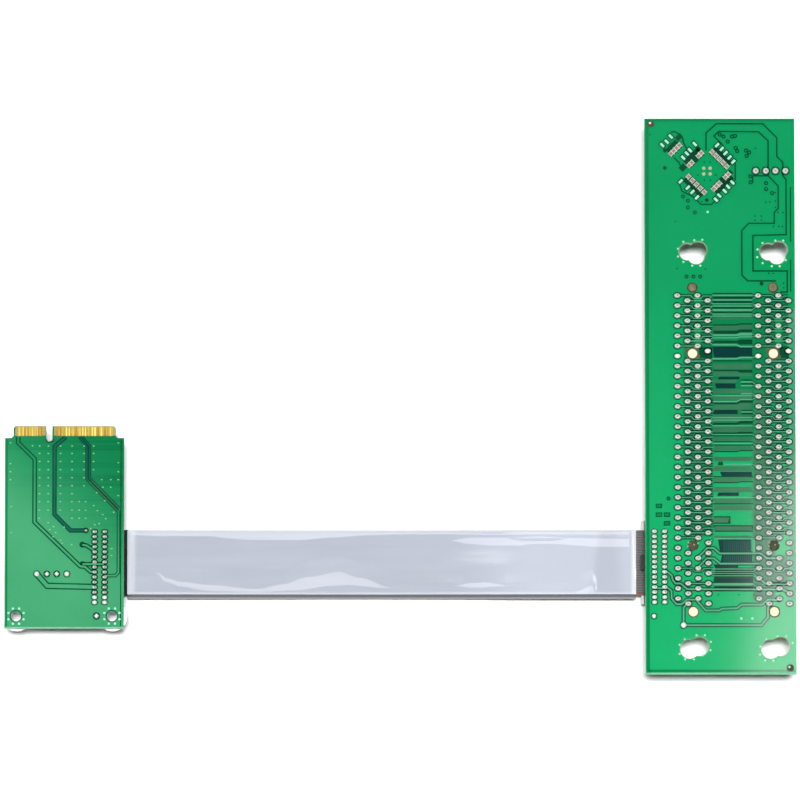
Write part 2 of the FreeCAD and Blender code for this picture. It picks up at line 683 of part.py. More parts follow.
def make_mini_board():
    body = new_body("mini_card_board", "places.mini_left", "places.mini_bottom", "places.stack")
    outline = new_sketch(body, "mini_outline")
    right = "sizes.mini_width"
    top = "sizes.mini_length"
    bevel_size = "sizes.tongue_bevel"
    tongue_right = "(places.tongue_left + sizes.tongue_width)"
    add_outline(
        outline,
        [
            ("0", "0"),
            (right, "0"),
            (right, "places.shoulder"),
            (f"{tongue_right} + {bevel_size}", "places.shoulder"),
            (tongue_right, f"places.shoulder + {bevel_size}"),
            (tongue_right, f"{top} - {bevel_size}"),
            (f"{tongue_right} - {bevel_size}", top),
            (f"places.tongue_left + {bevel_size}", top),
            ("places.tongue_left", f"{top} - {bevel_size}"),
            ("places.tongue_left", f"places.shoulder + {bevel_size}"),
            (f"places.tongue_left - {bevel_size}", "places.shoulder"),
            ("0", "places.shoulder"),
        ],
    )
    pad(body, outline, "sizes.mini_thickness")
    half = "sizes.notch_width / 2"
    middle = "sizes.notch_left"
    notch = new_sketch(body, "key_notch")
    add_rectangle(notch, f"{middle} - {half}", "places.notch_floor", f"{middle} + {half}", top)
    pocket(body, notch, "sizes.mini_thickness", upward=True)
    notch_end = new_sketch(body, "key_notch_end")
    add_circle(notch_end, middle, "places.notch_floor", half)
    pocket(body, notch_end, "sizes.mini_thickness", upward=True)
    holes = new_sketch(body, "mini_screw_holes")
    for side in (-1, 1):
        across = f"{right} / 2 + {side} * sizes.mini_hole_span / 2"
        add_circle(holes, across, "sizes.mini_hole_up", "sizes.mini_hole_radius")
    body.Tip = pocket(body, holes, "sizes.mini_thickness", upward=True)


def make_edge_contacts():
    """Gold contacts on both faces of the tongue, on either side of the key notch."""
    first_left = size("notch_left") - size("notch_to_finger")
    first_right = size("notch_left") + size("notch_to_finger")
    pitch = size("finger_pitch")
    columns = [first_left - pitch * number for number in range(FINGERS_LEFT)]
    columns += [first_right + pitch * number for number in range(FINGERS_RIGHT)]
    along = size("mini_length") - size("finger_setback") - size("finger_length") / 2
    thickness = size("finger_thickness")
    fingers = []
    for across in columns:
        for level in (-thickness, size("mini_thickness")):
            centre = Vector(across, along, level)
            fingers.append(block(size("finger_width"), size("finger_length"), thickness, centre))
    label = "mini_card_edge_contacts"
    new_group(label, fingers, place("mini_left"), place("mini_bottom"), place("stack"))


def make_mini_joints():
    """Header joints, and the four spare pads whose holes are filled with solder."""
    joints = header_joints(-size("mini_pad_shift"))
    header_x = place("mini_header") - place("mini_left")
    for joint in joints:
        joint.translate(Vector(header_x, size("mini_header_up"), 0))
    radius = size("joint_radius")
    for number in range(POWER_PINS):
        across = size("spare_pad_left") + number * size("power_pitch")
        centre = Vector(across, size("spare_pad_up"), 0)
        joints.append(solder_joint(radius, radius, size("flat_joint_height"), centre))
    top = place("stack") + size("mini_thickness")
    new_group("mini_card_solder", joints, place("mini_left"), place("mini_bottom"), top)


def make_power_header():
    """A four-pin power inlet under the riser: base, back wall and lock ramp in one moulding."""
    body = new_body("power_header_body", "places.power_x", "places.power_y", "sizes.slot_height")
    profile = new_sketch(body, "power_profile", role="YZ_Plane")
    front = "-sizes.power_depth / 2"
    back = "sizes.power_depth / 2"
    wall = f"({back} - sizes.power_wall)"
    base = "-sizes.power_base"
    foot = "-sizes.power_height"
    ramp_top = f"({foot} + 2 * sizes.power_ramp)"
    add_outline(
        profile,
        [
            (front, "0"),
            (front, base),
            (wall, base),
            (wall, ramp_top),
            (f"{wall} - sizes.power_ramp", ramp_top),
            (wall, foot),
            (back, foot),
            (back, "0"),
        ],
    )
    pad(body, profile, "places.power_field + 2 * sizes.power_side", both_ways=True)

    bottom = "sizes.slot_height - sizes.power_base - sizes.power_pin_reach"
    pins = new_body("power_header_pins", "places.power_x", "places.power_y", bottom)
    square = new_sketch(pins, "power_square")
    first = "-places.power_field / 2"
    half = "sizes.power_pin_size / 2"
    add_rectangle(square, f"{first} - {half}", f"-{half}", f"{first} + {half}", half)
    first_pin = pad(pins, square, "sizes.power_pin_reach")
    pattern(pins, first_pin, "X_Axis", "places.power_field", POWER_PINS)

    radius = size("power_joint_radius")
    joints = []
    for number in range(POWER_PINS):
        across = number * size("power_pitch") - place("power_field") / 2
        joints.append(solder_joint(radius, radius, size("joint_height"), Vector(across, 0, 0)))
    top = size("slot_height") + size("riser_thickness")
    new_group("power_header_solder", joints, place("power_x"), place("power_y"), top)


def make_bridge_chip():
    """A flat square chip under the riser, turned by an eighth of a circle."""
    bottom = "sizes.slot_height - sizes.chip_height"
    body = new_body("bridge_chip", "places.chip_x", "places.power_y", bottom, CHIP_TURN)
    outline = new_sketch(body, "chip_outline")
    add_centred(outline, "sizes.chip_side", "sizes.chip_side")
    base = pad(body, outline, "sizes.chip_height")
    doc.recompute()
    rim = edges_where(base.Shape, lambda middle: abs(middle.z) < TOUCH)
    body.Tip = bevel(body, base, rim, "sizes.chip_bevel")


def make_capacitors():
    """Small chip capacitors on the solder side, in rows around the bridge chip."""
    length = size("capacitor_length")
    width = size("capacitor_width")
    height = size("capacitor_height")
    shapes = []
    for direction, distance, row in CAPACITOR_ROWS:
        for along in row:
            capacitor = block(length, width, height, Vector(size(distance), -along, 0))
            capacitor.rotate(Vector(), UP, direction)
            shapes.append(capacitor)
    top = size("slot_height") + size("riser_thickness")
    new_group("chip_capacitors", shapes, place("chip_x"), place("power_y"), top)


make_riser_board()
for number in (1, 2):
    axis = place("riser_left") + place("slot_axis") + (number - 1) * size("slot_pitch")
    axis_rule = f"places.riser_left + places.slot_axis + {number - 1} * sizes.slot_pitch"
    make_slot_housing(f"slot_{number}_housing", axis_rule)
    make_slot_contacts(f"slot_{number}_contacts", axis)
    make_slot_joints(f"slot_{number}_solder", axis)

make_connector("mini", "places.mini_header", "places.stack", "0", 0)
make_connector("riser", "places.riser_header", "sizes.slot_height", "places.riser_plug_floor", 180)
make_plug_contacts("mini_plug_contacts", place("mini_header"), 0)
make_plug_contacts("riser_plug_contacts", place("riser_header"), place("riser_plug_floor"))
riser_top = size("slot_height") + size("riser_thickness")
riser_joints = header_joints(-size("pin_column_pitch") / 2)
new_group("riser_header_solder", riser_joints, place("riser_header"), place("cable_centre"), riser_top)

make_cable()
make_mini_board()
make_edge_contacts()
make_mini_joints()
make_power_header()
make_bridge_chip()
make_capacitors()
doc.recompute()

for item in doc.Objects:
    if "Invalid" in item.State or "Error" in item.State:
        raise RuntimeError(f"{item.Label} did not build: {item.State}")
    if item.TypeId == "PartDesign::Pocket" and item.Shape.Volume >= item.BaseFeature.Shape.Volume:
        raise RuntimeError(f"{item.Label} cuts nothing")
os.makedirs("parts", exist_ok=True)
for node in nodes:
    if node.Shape.isNull() or not node.Shape.isValid():
        raise RuntimeError(f"{node.Label} has no valid shape")
    node.Shape.exportStep(f"parts/{node.Label}.step")
print("nodes", len(nodes), "solids", sum(len(node.Shape.Solids) for node in nodes))
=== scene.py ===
"""Looks of the adapter card: two green boards seen on their solder sides, joined by a wrapped ribbon.

Lengths are millimetres in the shared frame, turned to metres where a mesh is made. Places read from
the photo are pixels of its 800 x 800 frame, turned to millimetres by spot().
"""
import bmesh
import bpy
import math
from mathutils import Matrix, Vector, noise


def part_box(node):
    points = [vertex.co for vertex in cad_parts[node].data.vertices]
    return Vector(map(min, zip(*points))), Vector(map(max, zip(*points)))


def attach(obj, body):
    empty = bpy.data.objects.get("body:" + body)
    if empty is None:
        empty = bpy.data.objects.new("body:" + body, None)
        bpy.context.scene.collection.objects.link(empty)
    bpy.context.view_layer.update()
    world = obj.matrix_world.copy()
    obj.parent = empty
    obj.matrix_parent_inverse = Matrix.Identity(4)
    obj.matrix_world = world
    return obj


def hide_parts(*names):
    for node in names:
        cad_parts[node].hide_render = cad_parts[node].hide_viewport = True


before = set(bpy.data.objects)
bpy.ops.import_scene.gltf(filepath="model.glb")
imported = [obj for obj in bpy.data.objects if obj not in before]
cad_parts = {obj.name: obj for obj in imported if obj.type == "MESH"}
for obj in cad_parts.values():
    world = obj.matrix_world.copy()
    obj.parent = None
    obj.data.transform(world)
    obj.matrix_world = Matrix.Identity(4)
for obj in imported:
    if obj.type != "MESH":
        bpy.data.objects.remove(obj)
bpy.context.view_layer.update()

MM = 0.001


def node_box(node):
    low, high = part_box(node)
    return [value / MM for value in low], [value / MM for value in high]


def node_centre(node):
    return [(first + last) / 2 for first, last in zip(*node_box(node))]


def link(name, data):
    """A new object in the scene."""
    item = bpy.data.objects.new(name, data)
    bpy.context.scene.collection.objects.link(item)
    return item


RISER_LOW, RISER_HIGH = node_box("riser_board")
MINI_LOW, MINI_HIGH = node_box("mini_card_board")
FILM_LOW, FILM_HIGH = node_box("cable_film")
RISER_TOP = RISER_HIGH[2]
MINI_TOP = MINI_HIGH[2]

# The photo's frame: the pixel of the shared origin and the pixels in a millimetre
PHOTO_ORIGIN = (400.4, 396.4)
PHOTO_SCALE = 3.98


def spot(px, py):
    """Millimetres in the shared frame of a pixel of the photo."""
    return (px - PHOTO_ORIGIN[0]) / PHOTO_SCALE, (PHOTO_ORIGIN[1] - py) / PHOTO_SCALE


def spots(*pixels):
    return [spot(px, py) for px, py in pixels]


# Camera: straight above, tipped a little towards the lower edge
VIEW_WIDTH = 201.0
VIEW_CENTRE = (0.0, -1.07)
CAMERA_DISTANCE = 1400.0
CAMERA_TILT = math.radians(3.5)


def make_camera():
    data = bpy.data.cameras.new("camera")
    camera = link("camera", data)
    data.lens = data.sensor_width * CAMERA_DISTANCE / VIEW_WIDTH
    data.clip_start = 0.05
    back = CAMERA_DISTANCE * math.sin(CAMERA_TILT)
    height = CAMERA_DISTANCE * math.cos(CAMERA_TILT)
    target = (VIEW_CENTRE[0], VIEW_CENTRE[1], RISER_TOP)
    camera.location = (target[0] * MM, (target[1] - back) * MM, (target[2] + height) * MM)
    camera.rotation_euler = (CAMERA_TILT, 0, 0)
    bpy.context.scene.camera = camera


make_camera()


# Mesh building

SHARPEST_MITRE = 0.4


class Build:
    """Points and faces of one piece, gathered in millimetres."""

    def __init__(self):
        self.points = []
        self.faces = []

    def skin(self, sections, closed=False):
        """A solid over outlines of the same count of points, capped at both ends or joined in a ring."""
        first = len(self.points)
        count = len(sections[0])
        total = count * len(sections)
        self.points += [point for section in sections for point in section]
        if not closed:
            self.faces.append([first + index for index in range(count)])
        for base in range(0, total if closed else total - count, count):
            for index in range(count):
                near = (index + 1) % count
                corners = (base + index, base + count + index, base + count + near, base + near)
                self.faces.append([first + corner % total for corner in corners])
        if not closed:
            self.faces.append([first + total - 1 - index for index in range(count)])

    def prism(self, outline, low, high):
        """A solid over an outline that runs counter-clockwise."""
        self.skin([[(x, y, level) for x, y in outline] for level in (high, low)])

    def band(self, upper, lower, low, high, closed=False):
        """A flat band between two lines that have the same count of points."""
        self.skin([
            [(*under, low), (*under, high), (*over, high), (*over, low)] for over, under in zip(upper, lower)
        ], closed)

    def strip(self, path, width, low, high):
        """A flat strip along a path, mitred at its bends."""
        line = [Vector(point) for point in path]
        left = []
        right = []
        for index, point in enumerate(line):
            before = line[max(index - 1, 0)]
            after = line[min(index + 1, len(line) - 1)]
            arriving = (point - before).normalized() if index else (after - point).normalized()
            leaving = (after - point).normalized() if index < len(line) - 1 else arriving
            across = Vector((-arriving.y - leaving.y, arriving.x + leaving.x)).normalized()
            reach = width / 2 / max(across.dot(Vector((-arriving.y, arriving.x))), SHARPEST_MITRE)
            left.append(point + across * reach)
            right.append(point - across * reach)
        self.band(left, right, low, high)

    def ring(self, centre, inner, outer, low, high, sides=20):
        self.band(circle(centre, inner, sides), circle(centre, outer, sides), low, high, True)

    def lathe(self, centre, profile, sides=18, stretch=(1.0, 1.0)):
        """A round solid: the profile runs from its rim, as radius and level, up to its tip."""
        rings = []
        for radius, level in reversed(profile):
            rings.append([
                (centre[0] + x * stretch[0], centre[1] + y * stretch[1], level)
                for x, y in circle((0, 0), radius, sides)
            ])
        self.skin(rings)

    def box(self, centre, width, length, low, high, turn=0.0):
        corners = [(-width, -length), (width, -length), (width, length), (-width, length)]
        self.prism([turned(centre, x / 2, y / 2, turn) for x, y in corners], low, high)

    def make(self, name, material, slot, smooth=False, replaces=()):
        mesh = bpy.data.meshes.new(name)
        mesh.from_pydata([(x * MM, y * MM, z * MM) for x, y, z in self.points], [], self.faces)
        mesh.validate()
        return finish_piece(name, mesh, material, smooth, replaces)


def circle(centre, radius, sides):
    return [turned(centre, radius, 0, 2 * math.pi * side / sides) for side in range(sides)]


def turned(centre, x, y, turn):
    """A point given from a centre, turned about it."""
    cosine, sine = math.cos(turn), math.sin(turn)
    return centre[0] + x * cosine - y * sine, centre[1] + x * sine + y * cosine


def finish_piece(name, mesh, material, smooth, replaces):
    for polygon in mesh.polygons:
        polygon.use_smooth = smooth
    piece = link(name, mesh)
    mesh.materials.append(material)
    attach(piece, "root")
    if replaces:
        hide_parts(*replaces)
    return piece


# Materials


class Paint:
    """A node material with helpers for colour, bump and roughness that vary over the surface."""

    def __init__(self, name, roughness, metallic=0.0, **sockets):
        self.material = bpy.data.materials.new(name)
        self.material.use_nodes = True
        self.tree = self.material.node_tree
        self.shader = self.tree.nodes["Principled BSDF"]
        self.feed(self.shader, Roughness=roughness, Metallic=metallic, **sockets)
        self.place = self.node("TexCoord").outputs["Object"]

    def plug(self, socket, value):
        """Link a socket to another node's output, or set it to a constant."""
        if isinstance(value, bpy.types.NodeSocket):
            self.tree.links.new(value, socket)
        else:
            socket.default_value = value

    def feed(self, node, **inputs):
        """Plug sockets by name, with an underscore for each space."""
        for name, value in inputs.items():
            self.plug(node.inputs[name.replace("_", " ")], value)
        return node

    def node(self, kind, **inputs):
        return self.feed(self.tree.nodes.new(f"ShaderNode{kind}"), **inputs)

    def math(self, operation, *values):
        node = self.node("Math")
        node.operation = operation
        for socket, value in zip(node.inputs, values):
            self.plug(socket, value)
        return node.outputs["Value"]

    def noise(self, scale, detail=3.0):
        """Noise with about this many spots in a millimetre along each axis."""
        mapping = self.node("Mapping", Vector=self.place, Scale=[value / MM for value in scale])
        noise_node = self.node("TexNoise", Vector=mapping.outputs["Vector"], Scale=1.0, Detail=detail)
        return noise_node.outputs["Fac"]

    def ramp(self, value, stops):
        node = self.node("ValToRGB", Fac=value)
        elements = node.color_ramp.elements
        for index, (position, colour) in enumerate(stops):
            element = elements[index] if index < len(elements) else elements.new(position)
            element.position = position
            element.color = (*colour, 1.0)
        return node.outputs["Color"]

    def mix(self, share, first, second):
        node = self.node("Mix")
        node.data_type = "RGBA"
        self.feed(node, Factor=share)
        for socket, value in zip(node.inputs[6:8], (first, second)):
            self.plug(socket, (*value, 1.0) if isinstance(value, tuple) else value)
        return node.outputs[2]

    def colour(self, value):
        self.feed(self.shader, Base_Color=value)
        return self

    def rough(self, value, low, high):
        spread = self.node("MapRange", Value=value, To_Min=low, To_Max=high)
        self.feed(self.shader, Roughness=spread.outputs["Result"])
        return self

    def bump(self, value, height):
        bump = self.node("Bump", Height=value, Distance=height * MM)
        self.feed(self.shader, Normal=bump.outputs["Normal"])
        return self

    def share(self, direction, start, stop):
        """Nought to one along a direction, between two distances in millimetres."""
        dot = self.node("VectorMath")
        dot.operation = "DOT_PRODUCT"
        self.plug(dot.inputs[0], self.place)
        self.plug(dot.inputs[1], direction)
        node = self.node("MapRange", Value=dot.outputs["Value"], From_Min=start * MM, From_Max=stop * MM)
        node.interpolation_type = "SMOOTHSTEP"
        return node.outputs["Result"]

    def patch(self, low, high, edge):
        """One inside a rectangle given by two corners, eased to nought across its edges."""
        sides = [((1, 0, 0), low[0]), ((-1, 0, 0), -high[0]), ((0, 1, 0), low[1]), ((0, -1, 0), -high[1])]
        inside = 1.0
        for inward, start in sides:
            inside = self.math("MULTIPLY", inside, self.share(inward, start - edge, start + edge))
        return inside

    def shaded(self, face, shades):
        """A colour under shades that come in one after another, each between two distances."""
        for direction, start, stop, shade in shades:
            face = self.mix(self.share(direction, start, stop), face, shade)
        return face

    def upright(self):
        """One where the surface is a board's cut edge, nought on its faces."""
        normal = self.node("NewGeometry").outputs["Normal"]
        slope = self.math("ABSOLUTE", self.node("SeparateXYZ", Vector=normal).outputs["Z"])
        return self.math("LESS_THAN", slope, 0.5)


MASK_ROUGHNESS = 0.066
MASK_SPREAD = 0.02


def mask(name, dull, bright, painted_cool_shades=(), painted_deep_shade=None, tints=()):
    """Solder mask: blotchy green over the faint weave of the glass cloth.

    The cool shades are painted shade that comes in towards one side of the board, as light falls across it.
    The deep shade holds the direction, the two distances between which darker shades come in, those
    shades, and the spots in a millimetre of their grain: streaked painted shade over the far part of the
    board, which is left lighter towards its other end. Each tint is a shade and the patches that it covers.
    """
    paint = Paint(name, MASK_ROUGHNESS, Specular_IOR_Level=0.22)
    blotch = paint.noise((0.05, 0.05, 0.05))
    face = paint.shaded(paint.ramp(blotch, ((0.3, dull), (0.7, bright))), painted_cool_shades)
    if painted_deep_shade:
        direction, start, stop, dark, darker, grain = painted_deep_shade
        streaks = paint.ramp(paint.noise(grain, 1.0), ((0.35, darker), (0.55, dark)))
        face = paint.shaded(face, [(direction, start, stop, streaks)])
    for shade, patches in tints:
        for low, high in patches:
            face = paint.mix(paint.patch(low, high, TINT_EDGE), face, shade)
    paint.colour(paint.mix(paint.upright(), face, LAMINATE_COLOUR))
    weave = paint.noise((0.9, 3.2, 0.5), 2.0)
    paint.bump(weave, 0.0004)
    return paint.rough(weave, MASK_ROUGHNESS - MASK_SPREAD, MASK_ROUGHNESS + MASK_SPREAD).material


def plain(name, dull, bright, roughness, grain, height, metallic=0.0, **sockets):
    """A moulded, plated or printed surface: two close shades and a fine grain."""
    paint = Paint(name, roughness, metallic, **sockets)
    grains = paint.noise((grain, grain, grain))
    paint.colour(paint.ramp(grains, ((0.3, dull), (0.7, bright))))
    return paint.bump(grains, height).rough(grains, 0.8 * roughness, 1.2 * roughness).material


LAMINATE_COLOUR = (0.3, 0.5, 0.36)
# Painted shade: the riser's green turns darker and streaked towards its upper end, lighter towards its lower
# edge
RISER_PAINTED_SHADE = ((0, 1, 0), -75, 60, (0.0, 0.182, 0.057), (0.0, 0.172, 0.052), (0.05, 0.05, 0.05))
# The pour is deeper or greyer round the slots' inner pads, between the slots and along the right edge
TINT_EDGE = 0.6
RISER_TINTS = (
    (
        (0.0005, 0.12, 0.038),
        (spots((684, 440), (755, 294.5)), spots((684, 537), (713, 430)), spots((745, 392), (788, 294.5))),
    ),
    (
        (0.02, 0.105, 0.05),
        (spots((755, 450), (768, 392)), spots((752.6, 601), (775, 440)), spots((765, 590), (788, 556))),
    ),
    ((0.03, 0.18, 0.09), (spots((789, 600), (800, 310)),)),
)
RISER_MASK = mask(
    "riser_mask", (0.001, 0.24, 0.078), (0.004, 0.262, 0.086), painted_deep_shade=RISER_PAINTED_SHADE, tints=RISER_TINTS
)
# Painted shade: the mini card's green turns cooler, darker and streaked towards its upper right
MINI_PAINTED_SHADE = ((0.62, 0.79, 0), -88.7, -52.7, (0.001, 0.118, 0.036), (0.0, 0.084, 0.027), (0.012, 1.1, 0.5))
MINI_PAINTED_COOL = [((0.55, 0.84, 0), -79, -58, (0.013, 0.208, 0.084))]
MINI_MASK = mask("mini_mask", (0.03, 0.21, 0.09), (0.038, 0.234, 0.104), MINI_PAINTED_COOL, MINI_PAINTED_SHADE)
BARE_MASK = mask("bare_mask", (0.0, 0.03, 0.012), (0.001, 0.045, 0.018))
TEAL_MASK = mask("teal_mask", (0.0, 0.018, 0.016), (0.001, 0.028, 0.025))
MARGIN_MASK = mask("margin_mask", (0.0, 0.11, 0.034), (0.001, 0.13, 0.042))
SHADE_MASK = mask("shade_mask", (0.002, 0.06, 0.046), (0.005, 0.08, 0.06))
FINE_MASK = mask("fine_mask", (0.012, 0.085, 0.04), (0.03, 0.125, 0.06))
TRACE_MASK = mask("trace_mask", (0.035, 0.2, 0.1), (0.06, 0.25, 0.14))
SOLDER = plain("solder", (0.48, 0.53, 0.48), (0.66, 0.7, 0.65), 0.3, 2.0, 0.01, 0.3)
# Pin ends: dark metal, partly painted shade over the pins' tips
SHADED_TAIL_METAL = plain("shaded_tail_metal", (0.11, 0.11, 0.09), (0.22, 0.22, 0.19), 0.4, 4.0, 0.01, 0.4)
PIN_METAL = plain("pin_metal", (0.6, 0.59, 0.55), (0.75, 0.73, 0.68), 0.3, 3.0, 0.005, 1.0)
VIA_METAL = plain("via_metal", (0.17, 0.46, 0.3), (0.27, 0.56, 0.4), 0.4, 3.0, 0.005)
# Tented vias on the mini card: pale marks that are painted highlights on their bumps
MINI_VIA_GLINT = plain("mini_via_glint", (0.07, 0.28, 0.08), (0.14, 0.35, 0.12), 0.3, 3.0, 0.005)
TONGUE = plain("tongue_plate", (0.19, 0.165, 0.04), (0.27, 0.24, 0.085), 0.35, 1.2, 0.004, 0.2)
BEVEL = plain("bevel", (0.2, 0.13, 0.02), (0.3, 0.2, 0.04), 0.35, 1.2, 0.004, 0.2)
# Cut edge strip: the laminate's pale edge, brightened as a painted highlight where light catches it
CUT_EDGE_HIGHLIGHT = plain("cut_edge", (0.09, 0.28, 0.17), (0.16, 0.33, 0.23), 0.5, 1.2, 0.01)
BARE_TIN = plain("bare_tin", (0.15, 0.42, 0.28), (0.27, 0.5, 0.38), 0.4, 1.4, 0.005)
CONTACT_METAL = plain("contact_metal", (0.66, 0.5, 0.24), (0.8, 0.64, 0.34), 0.3, 3.0, 0.004, 1.0)
IVORY = plain("ivory_plastic", (0.53, 0.48, 0.32), (0.6, 0.55, 0.39), 0.42, 1.2, 0.006)
BLACK_PLASTIC = plain("black_plastic", (0.012, 0.012, 0.013), (0.02, 0.02, 0.022), 0.42, 5.0, 0.008)
GREY_PLASTIC = plain("grey_plastic", (0.5, 0.5, 0.49), (0.58, 0.58, 0.56), 0.45, 5.0, 0.008)
NYLON = plain("nylon", (0.8, 0.8, 0.77), (0.87, 0.87, 0.85), 0.38, 5.0, 0.006)
CHIP_BLACK = plain("chip_black", (0.014, 0.014, 0.015), (0.03, 0.03, 0.032), 0.55, 8.0, 0.01)
CERAMIC = plain("ceramic", (0.13, 0.07, 0.055), (0.24, 0.15, 0.12), 0.45, 5.0, 0.006)
CERAMIC_END = plain("ceramic_end", (0.27, 0.25, 0.19), (0.42, 0.4, 0.32), 0.4, 3.0, 0.006)
PRINT = plain("board_print", (0.34, 0.46, 0.38), (0.46, 0.56, 0.48), 0.5, 6.0, 0.004)
# Brown of hole walls deepened as painted shade; a dark rim and a paler floor are painted shade and light in
# holes
HOLE_WALL_AND_SHADE = plain("hole_wall_and_shade", (0.03, 0.02, 0.008), (0.09, 0.06, 0.025), 0.5, 0.9, 0.05)
SHADE_RIM = plain("shade_rim", (0.008, 0.014, 0.004), (0.03, 0.035, 0.012), 0.4, 1.5, 0.01)
SHADED_HOLE_FLOOR = plain("shaded_hole_floor", (0.06, 0.055, 0.025), (0.15, 0.12, 0.068), 0.5, 0.7, 0.03)
TAN = plain("tan_metal", (0.2, 0.2, 0.13), (0.34, 0.32, 0.22), 0.4, 3.0, 0.01, 0.3)
RIBBON = plain("ribbon", (0.08, 0.075, 0.075), (0.11, 0.1, 0.1), 0.4, 2.0, 0.006)
SLEEVE_BLACK_AND_SHADE = plain("sleeve_black_and_shade", (0.003, 0.003, 0.003), (0.007, 0.007, 0.007), 0.6, 2.0, 0.006)
RED_STRIPE = plain("red_stripe", (0.15, 0.05, 0.05), (0.19, 0.07, 0.065), 0.4, 2.0, 0.006)

# The film's shades, painted sheen: paler and darker bands along its right part, and paler ends and upper
# edge where light catches them. Each gives the direction and the two distances that it comes in by; its
# ends and upper edge come last
FILM_PAINTED_SHEEN = (
    ((1, 0, 0), 8.0, 36.0, (0.328, 0.348, 0.404)),
    ((1, -0.15, 0), 54.2, 56.6, (0.288, 0.305, 0.355)),
    ((1, 0.1, 0), 49.0, 53.5, (0.322, 0.341, 0.396)),
    ((-1, 0.03, 0), 64.9, 67.2, (0.4, 0.415, 0.455)),
    ((1, 0, 0), 58.0, 58.8, (0.45, 0.46, 0.49)),
    ((0, 1, 0), -34.0, -33.4, (0.47, 0.48, 0.52)),
)
# Painted shadow along the film's lower fold: dark, grey and pale
SHADOW_FOLD_DARK = (0.058, 0.059, 0.066)
SHADOW_FOLD_GREY = (0.1, 0.1, 0.104)
SHADOW_FOLD_PALE = (0.25, 0.25, 0.25)


def film_paint():
    """Glossy pale film with faint lengthwise streaks; paler along its right part, where it stands off the
    ribbon and where light glances off it, and at its ends and upper edge: painted sheen.
    """
    paint = Paint("film", 0.1)
    streaks = paint.noise((0.04, 0.5, 0.2))
    face = paint.ramp(streaks, ((0.3, (0.267, 0.282, 0.328)), (0.7, (0.283, 0.3, 0.348))))
    face = paint.shaded(face, FILM_PAINTED_SHEEN)
    return paint.colour(face).bump(paint.noise((0.3, 0.6, 0.3)), 0.006).material


def shadow_fold_paint():
    """The film's lower margin, a fold of the wrap: painted shadow, dark along the cable and paler towards
    its edge.
    """
    paint = Paint("film_shadow_fold", 0.35)
    across = paint.share((0, 1, 0), -50.9, -49.6)
    paint.colour(paint.ramp(across, ((0.03, SHADOW_FOLD_PALE), (0.36, SHADOW_FOLD_GREY), (0.64, SHADOW_FOLD_DARK))))
    return paint.bump(paint.noise((1.5, 1.5, 1.5)), 0.006).material


def highlighted_gold_paint():
    """Gold with lengthwise streaks along the contacts: dim, orange and bright ones, the bright ones painted
    highlights.
    """
    paint = Paint("gold", 0.25, 0.25)
    streaks = paint.noise((2.2, 0.03, 0.1), 1.0)
    dim_streak, gilt, bright = (0.26, 0.13, 0.008), (0.42, 0.29, 0.022), (0.72, 0.63, 0.16)
    paint.colour(paint.ramp(streaks, ((0.34, dim_streak), (0.52, gilt), (0.7, bright))))
    return paint.bump(paint.noise((2.5, 2.5, 2.5)), 0.004).material


FILM = film_paint()
SHADOW_FOLD = shadow_fold_paint()
HIGHLIGHTED_GOLD = highlighted_gold_paint()


# Ribbon and film

# The ribbon's route between the plugs, as in the part's source
ROUTE = [
    (-79.06, -41.7, 2.55),
    (-57.0, -41.7, 2.55),
    (-28.0, -41.7, 1.35),
    (8.0, -41.7, 1.2),
    (41.0, -41.7, 4.25),
    (68.69, -41.7, 4.25),
]
RIBBON_WIDTH = 16.51
RIBBON_THICKNESS = 0.9
CORES = 26
CORE_PITCH = RIBBON_WIDTH / CORES
CORE_RADIUS = 0.43
RIB_POINTS = 6


def route_line():
    """Points along the smooth line that has the route as its control points."""
    data = bpy.data.curves.new("ribbon_route", "CURVE")
    data.dimensions = "3D"
    data.resolution_u = 24
    spline = data.splines.new("NURBS")
    spline.points.add(len(ROUTE) - 1)
    for point, (x, y, z) in zip(spline.points, ROUTE):
        point.co = (x * MM, y * MM, z * MM, 1.0)
    spline.order_u = 3
    spline.use_endpoint_u = True
    carrier = bpy.data.objects.new("ribbon_route", data)
    mesh = bpy.data.meshes.new_from_object(carrier)
    line = [vertex.co / MM for vertex in mesh.vertices]
    bpy.data.objects.remove(carrier)
    bpy.data.meshes.remove(mesh)
    return line


LINE = route_line()


def level_at(x):
    """Height of the ribbon's middle line at a place along X."""
    for before, after in zip(LINE, LINE[1:]):
        if x <= after.x:
            share = (x - before.x) / (after.x - before.x)
            return before.z + share * (after.z - before.z)
    return LINE[-1].z


def loft(sections, name, material, slot, replaces=()):
    """A smooth piece over a row of outlines."""
    build = Build()
    build.skin(sections)
    return build.make(name, material, slot, True, replaces)


def ribbon_section(x, y, z):
    """A ribbed outline: one rounded core beside the next, over and back under."""
    outline = []
    for side in (1, -1):
        cores = range(CORES) if side > 0 else reversed(range(CORES))
        for core in cores:
            middle = (core + 0.5 - CORES / 2) * CORE_PITCH
            for step in range(RIB_POINTS):
                turn = math.pi * (step + 0.5) / RIB_POINTS
                across = -side * math.cos(turn) * CORE_PITCH / 2
                outline.append((x, y + middle + across, z + side * CORE_RADIUS * math.sin(turn)))
    return outline


def make_ribbon():
    sections = [ribbon_section(*point) for point in LINE]
    ribbon = loft(sections, "ribbon", RIBBON, "ribbon_grey", ["ribbon_cable"])
    stripe = len(ribbon.data.materials)
    ribbon.data.materials.append(RED_STRIPE)
    edge = ROUTE[0][1] - RIBBON_WIDTH / 2 + CORE_PITCH
    for polygon in ribbon.data.polygons:
        if polygon.center.y < edge * MM:
            polygon.material_index = stripe


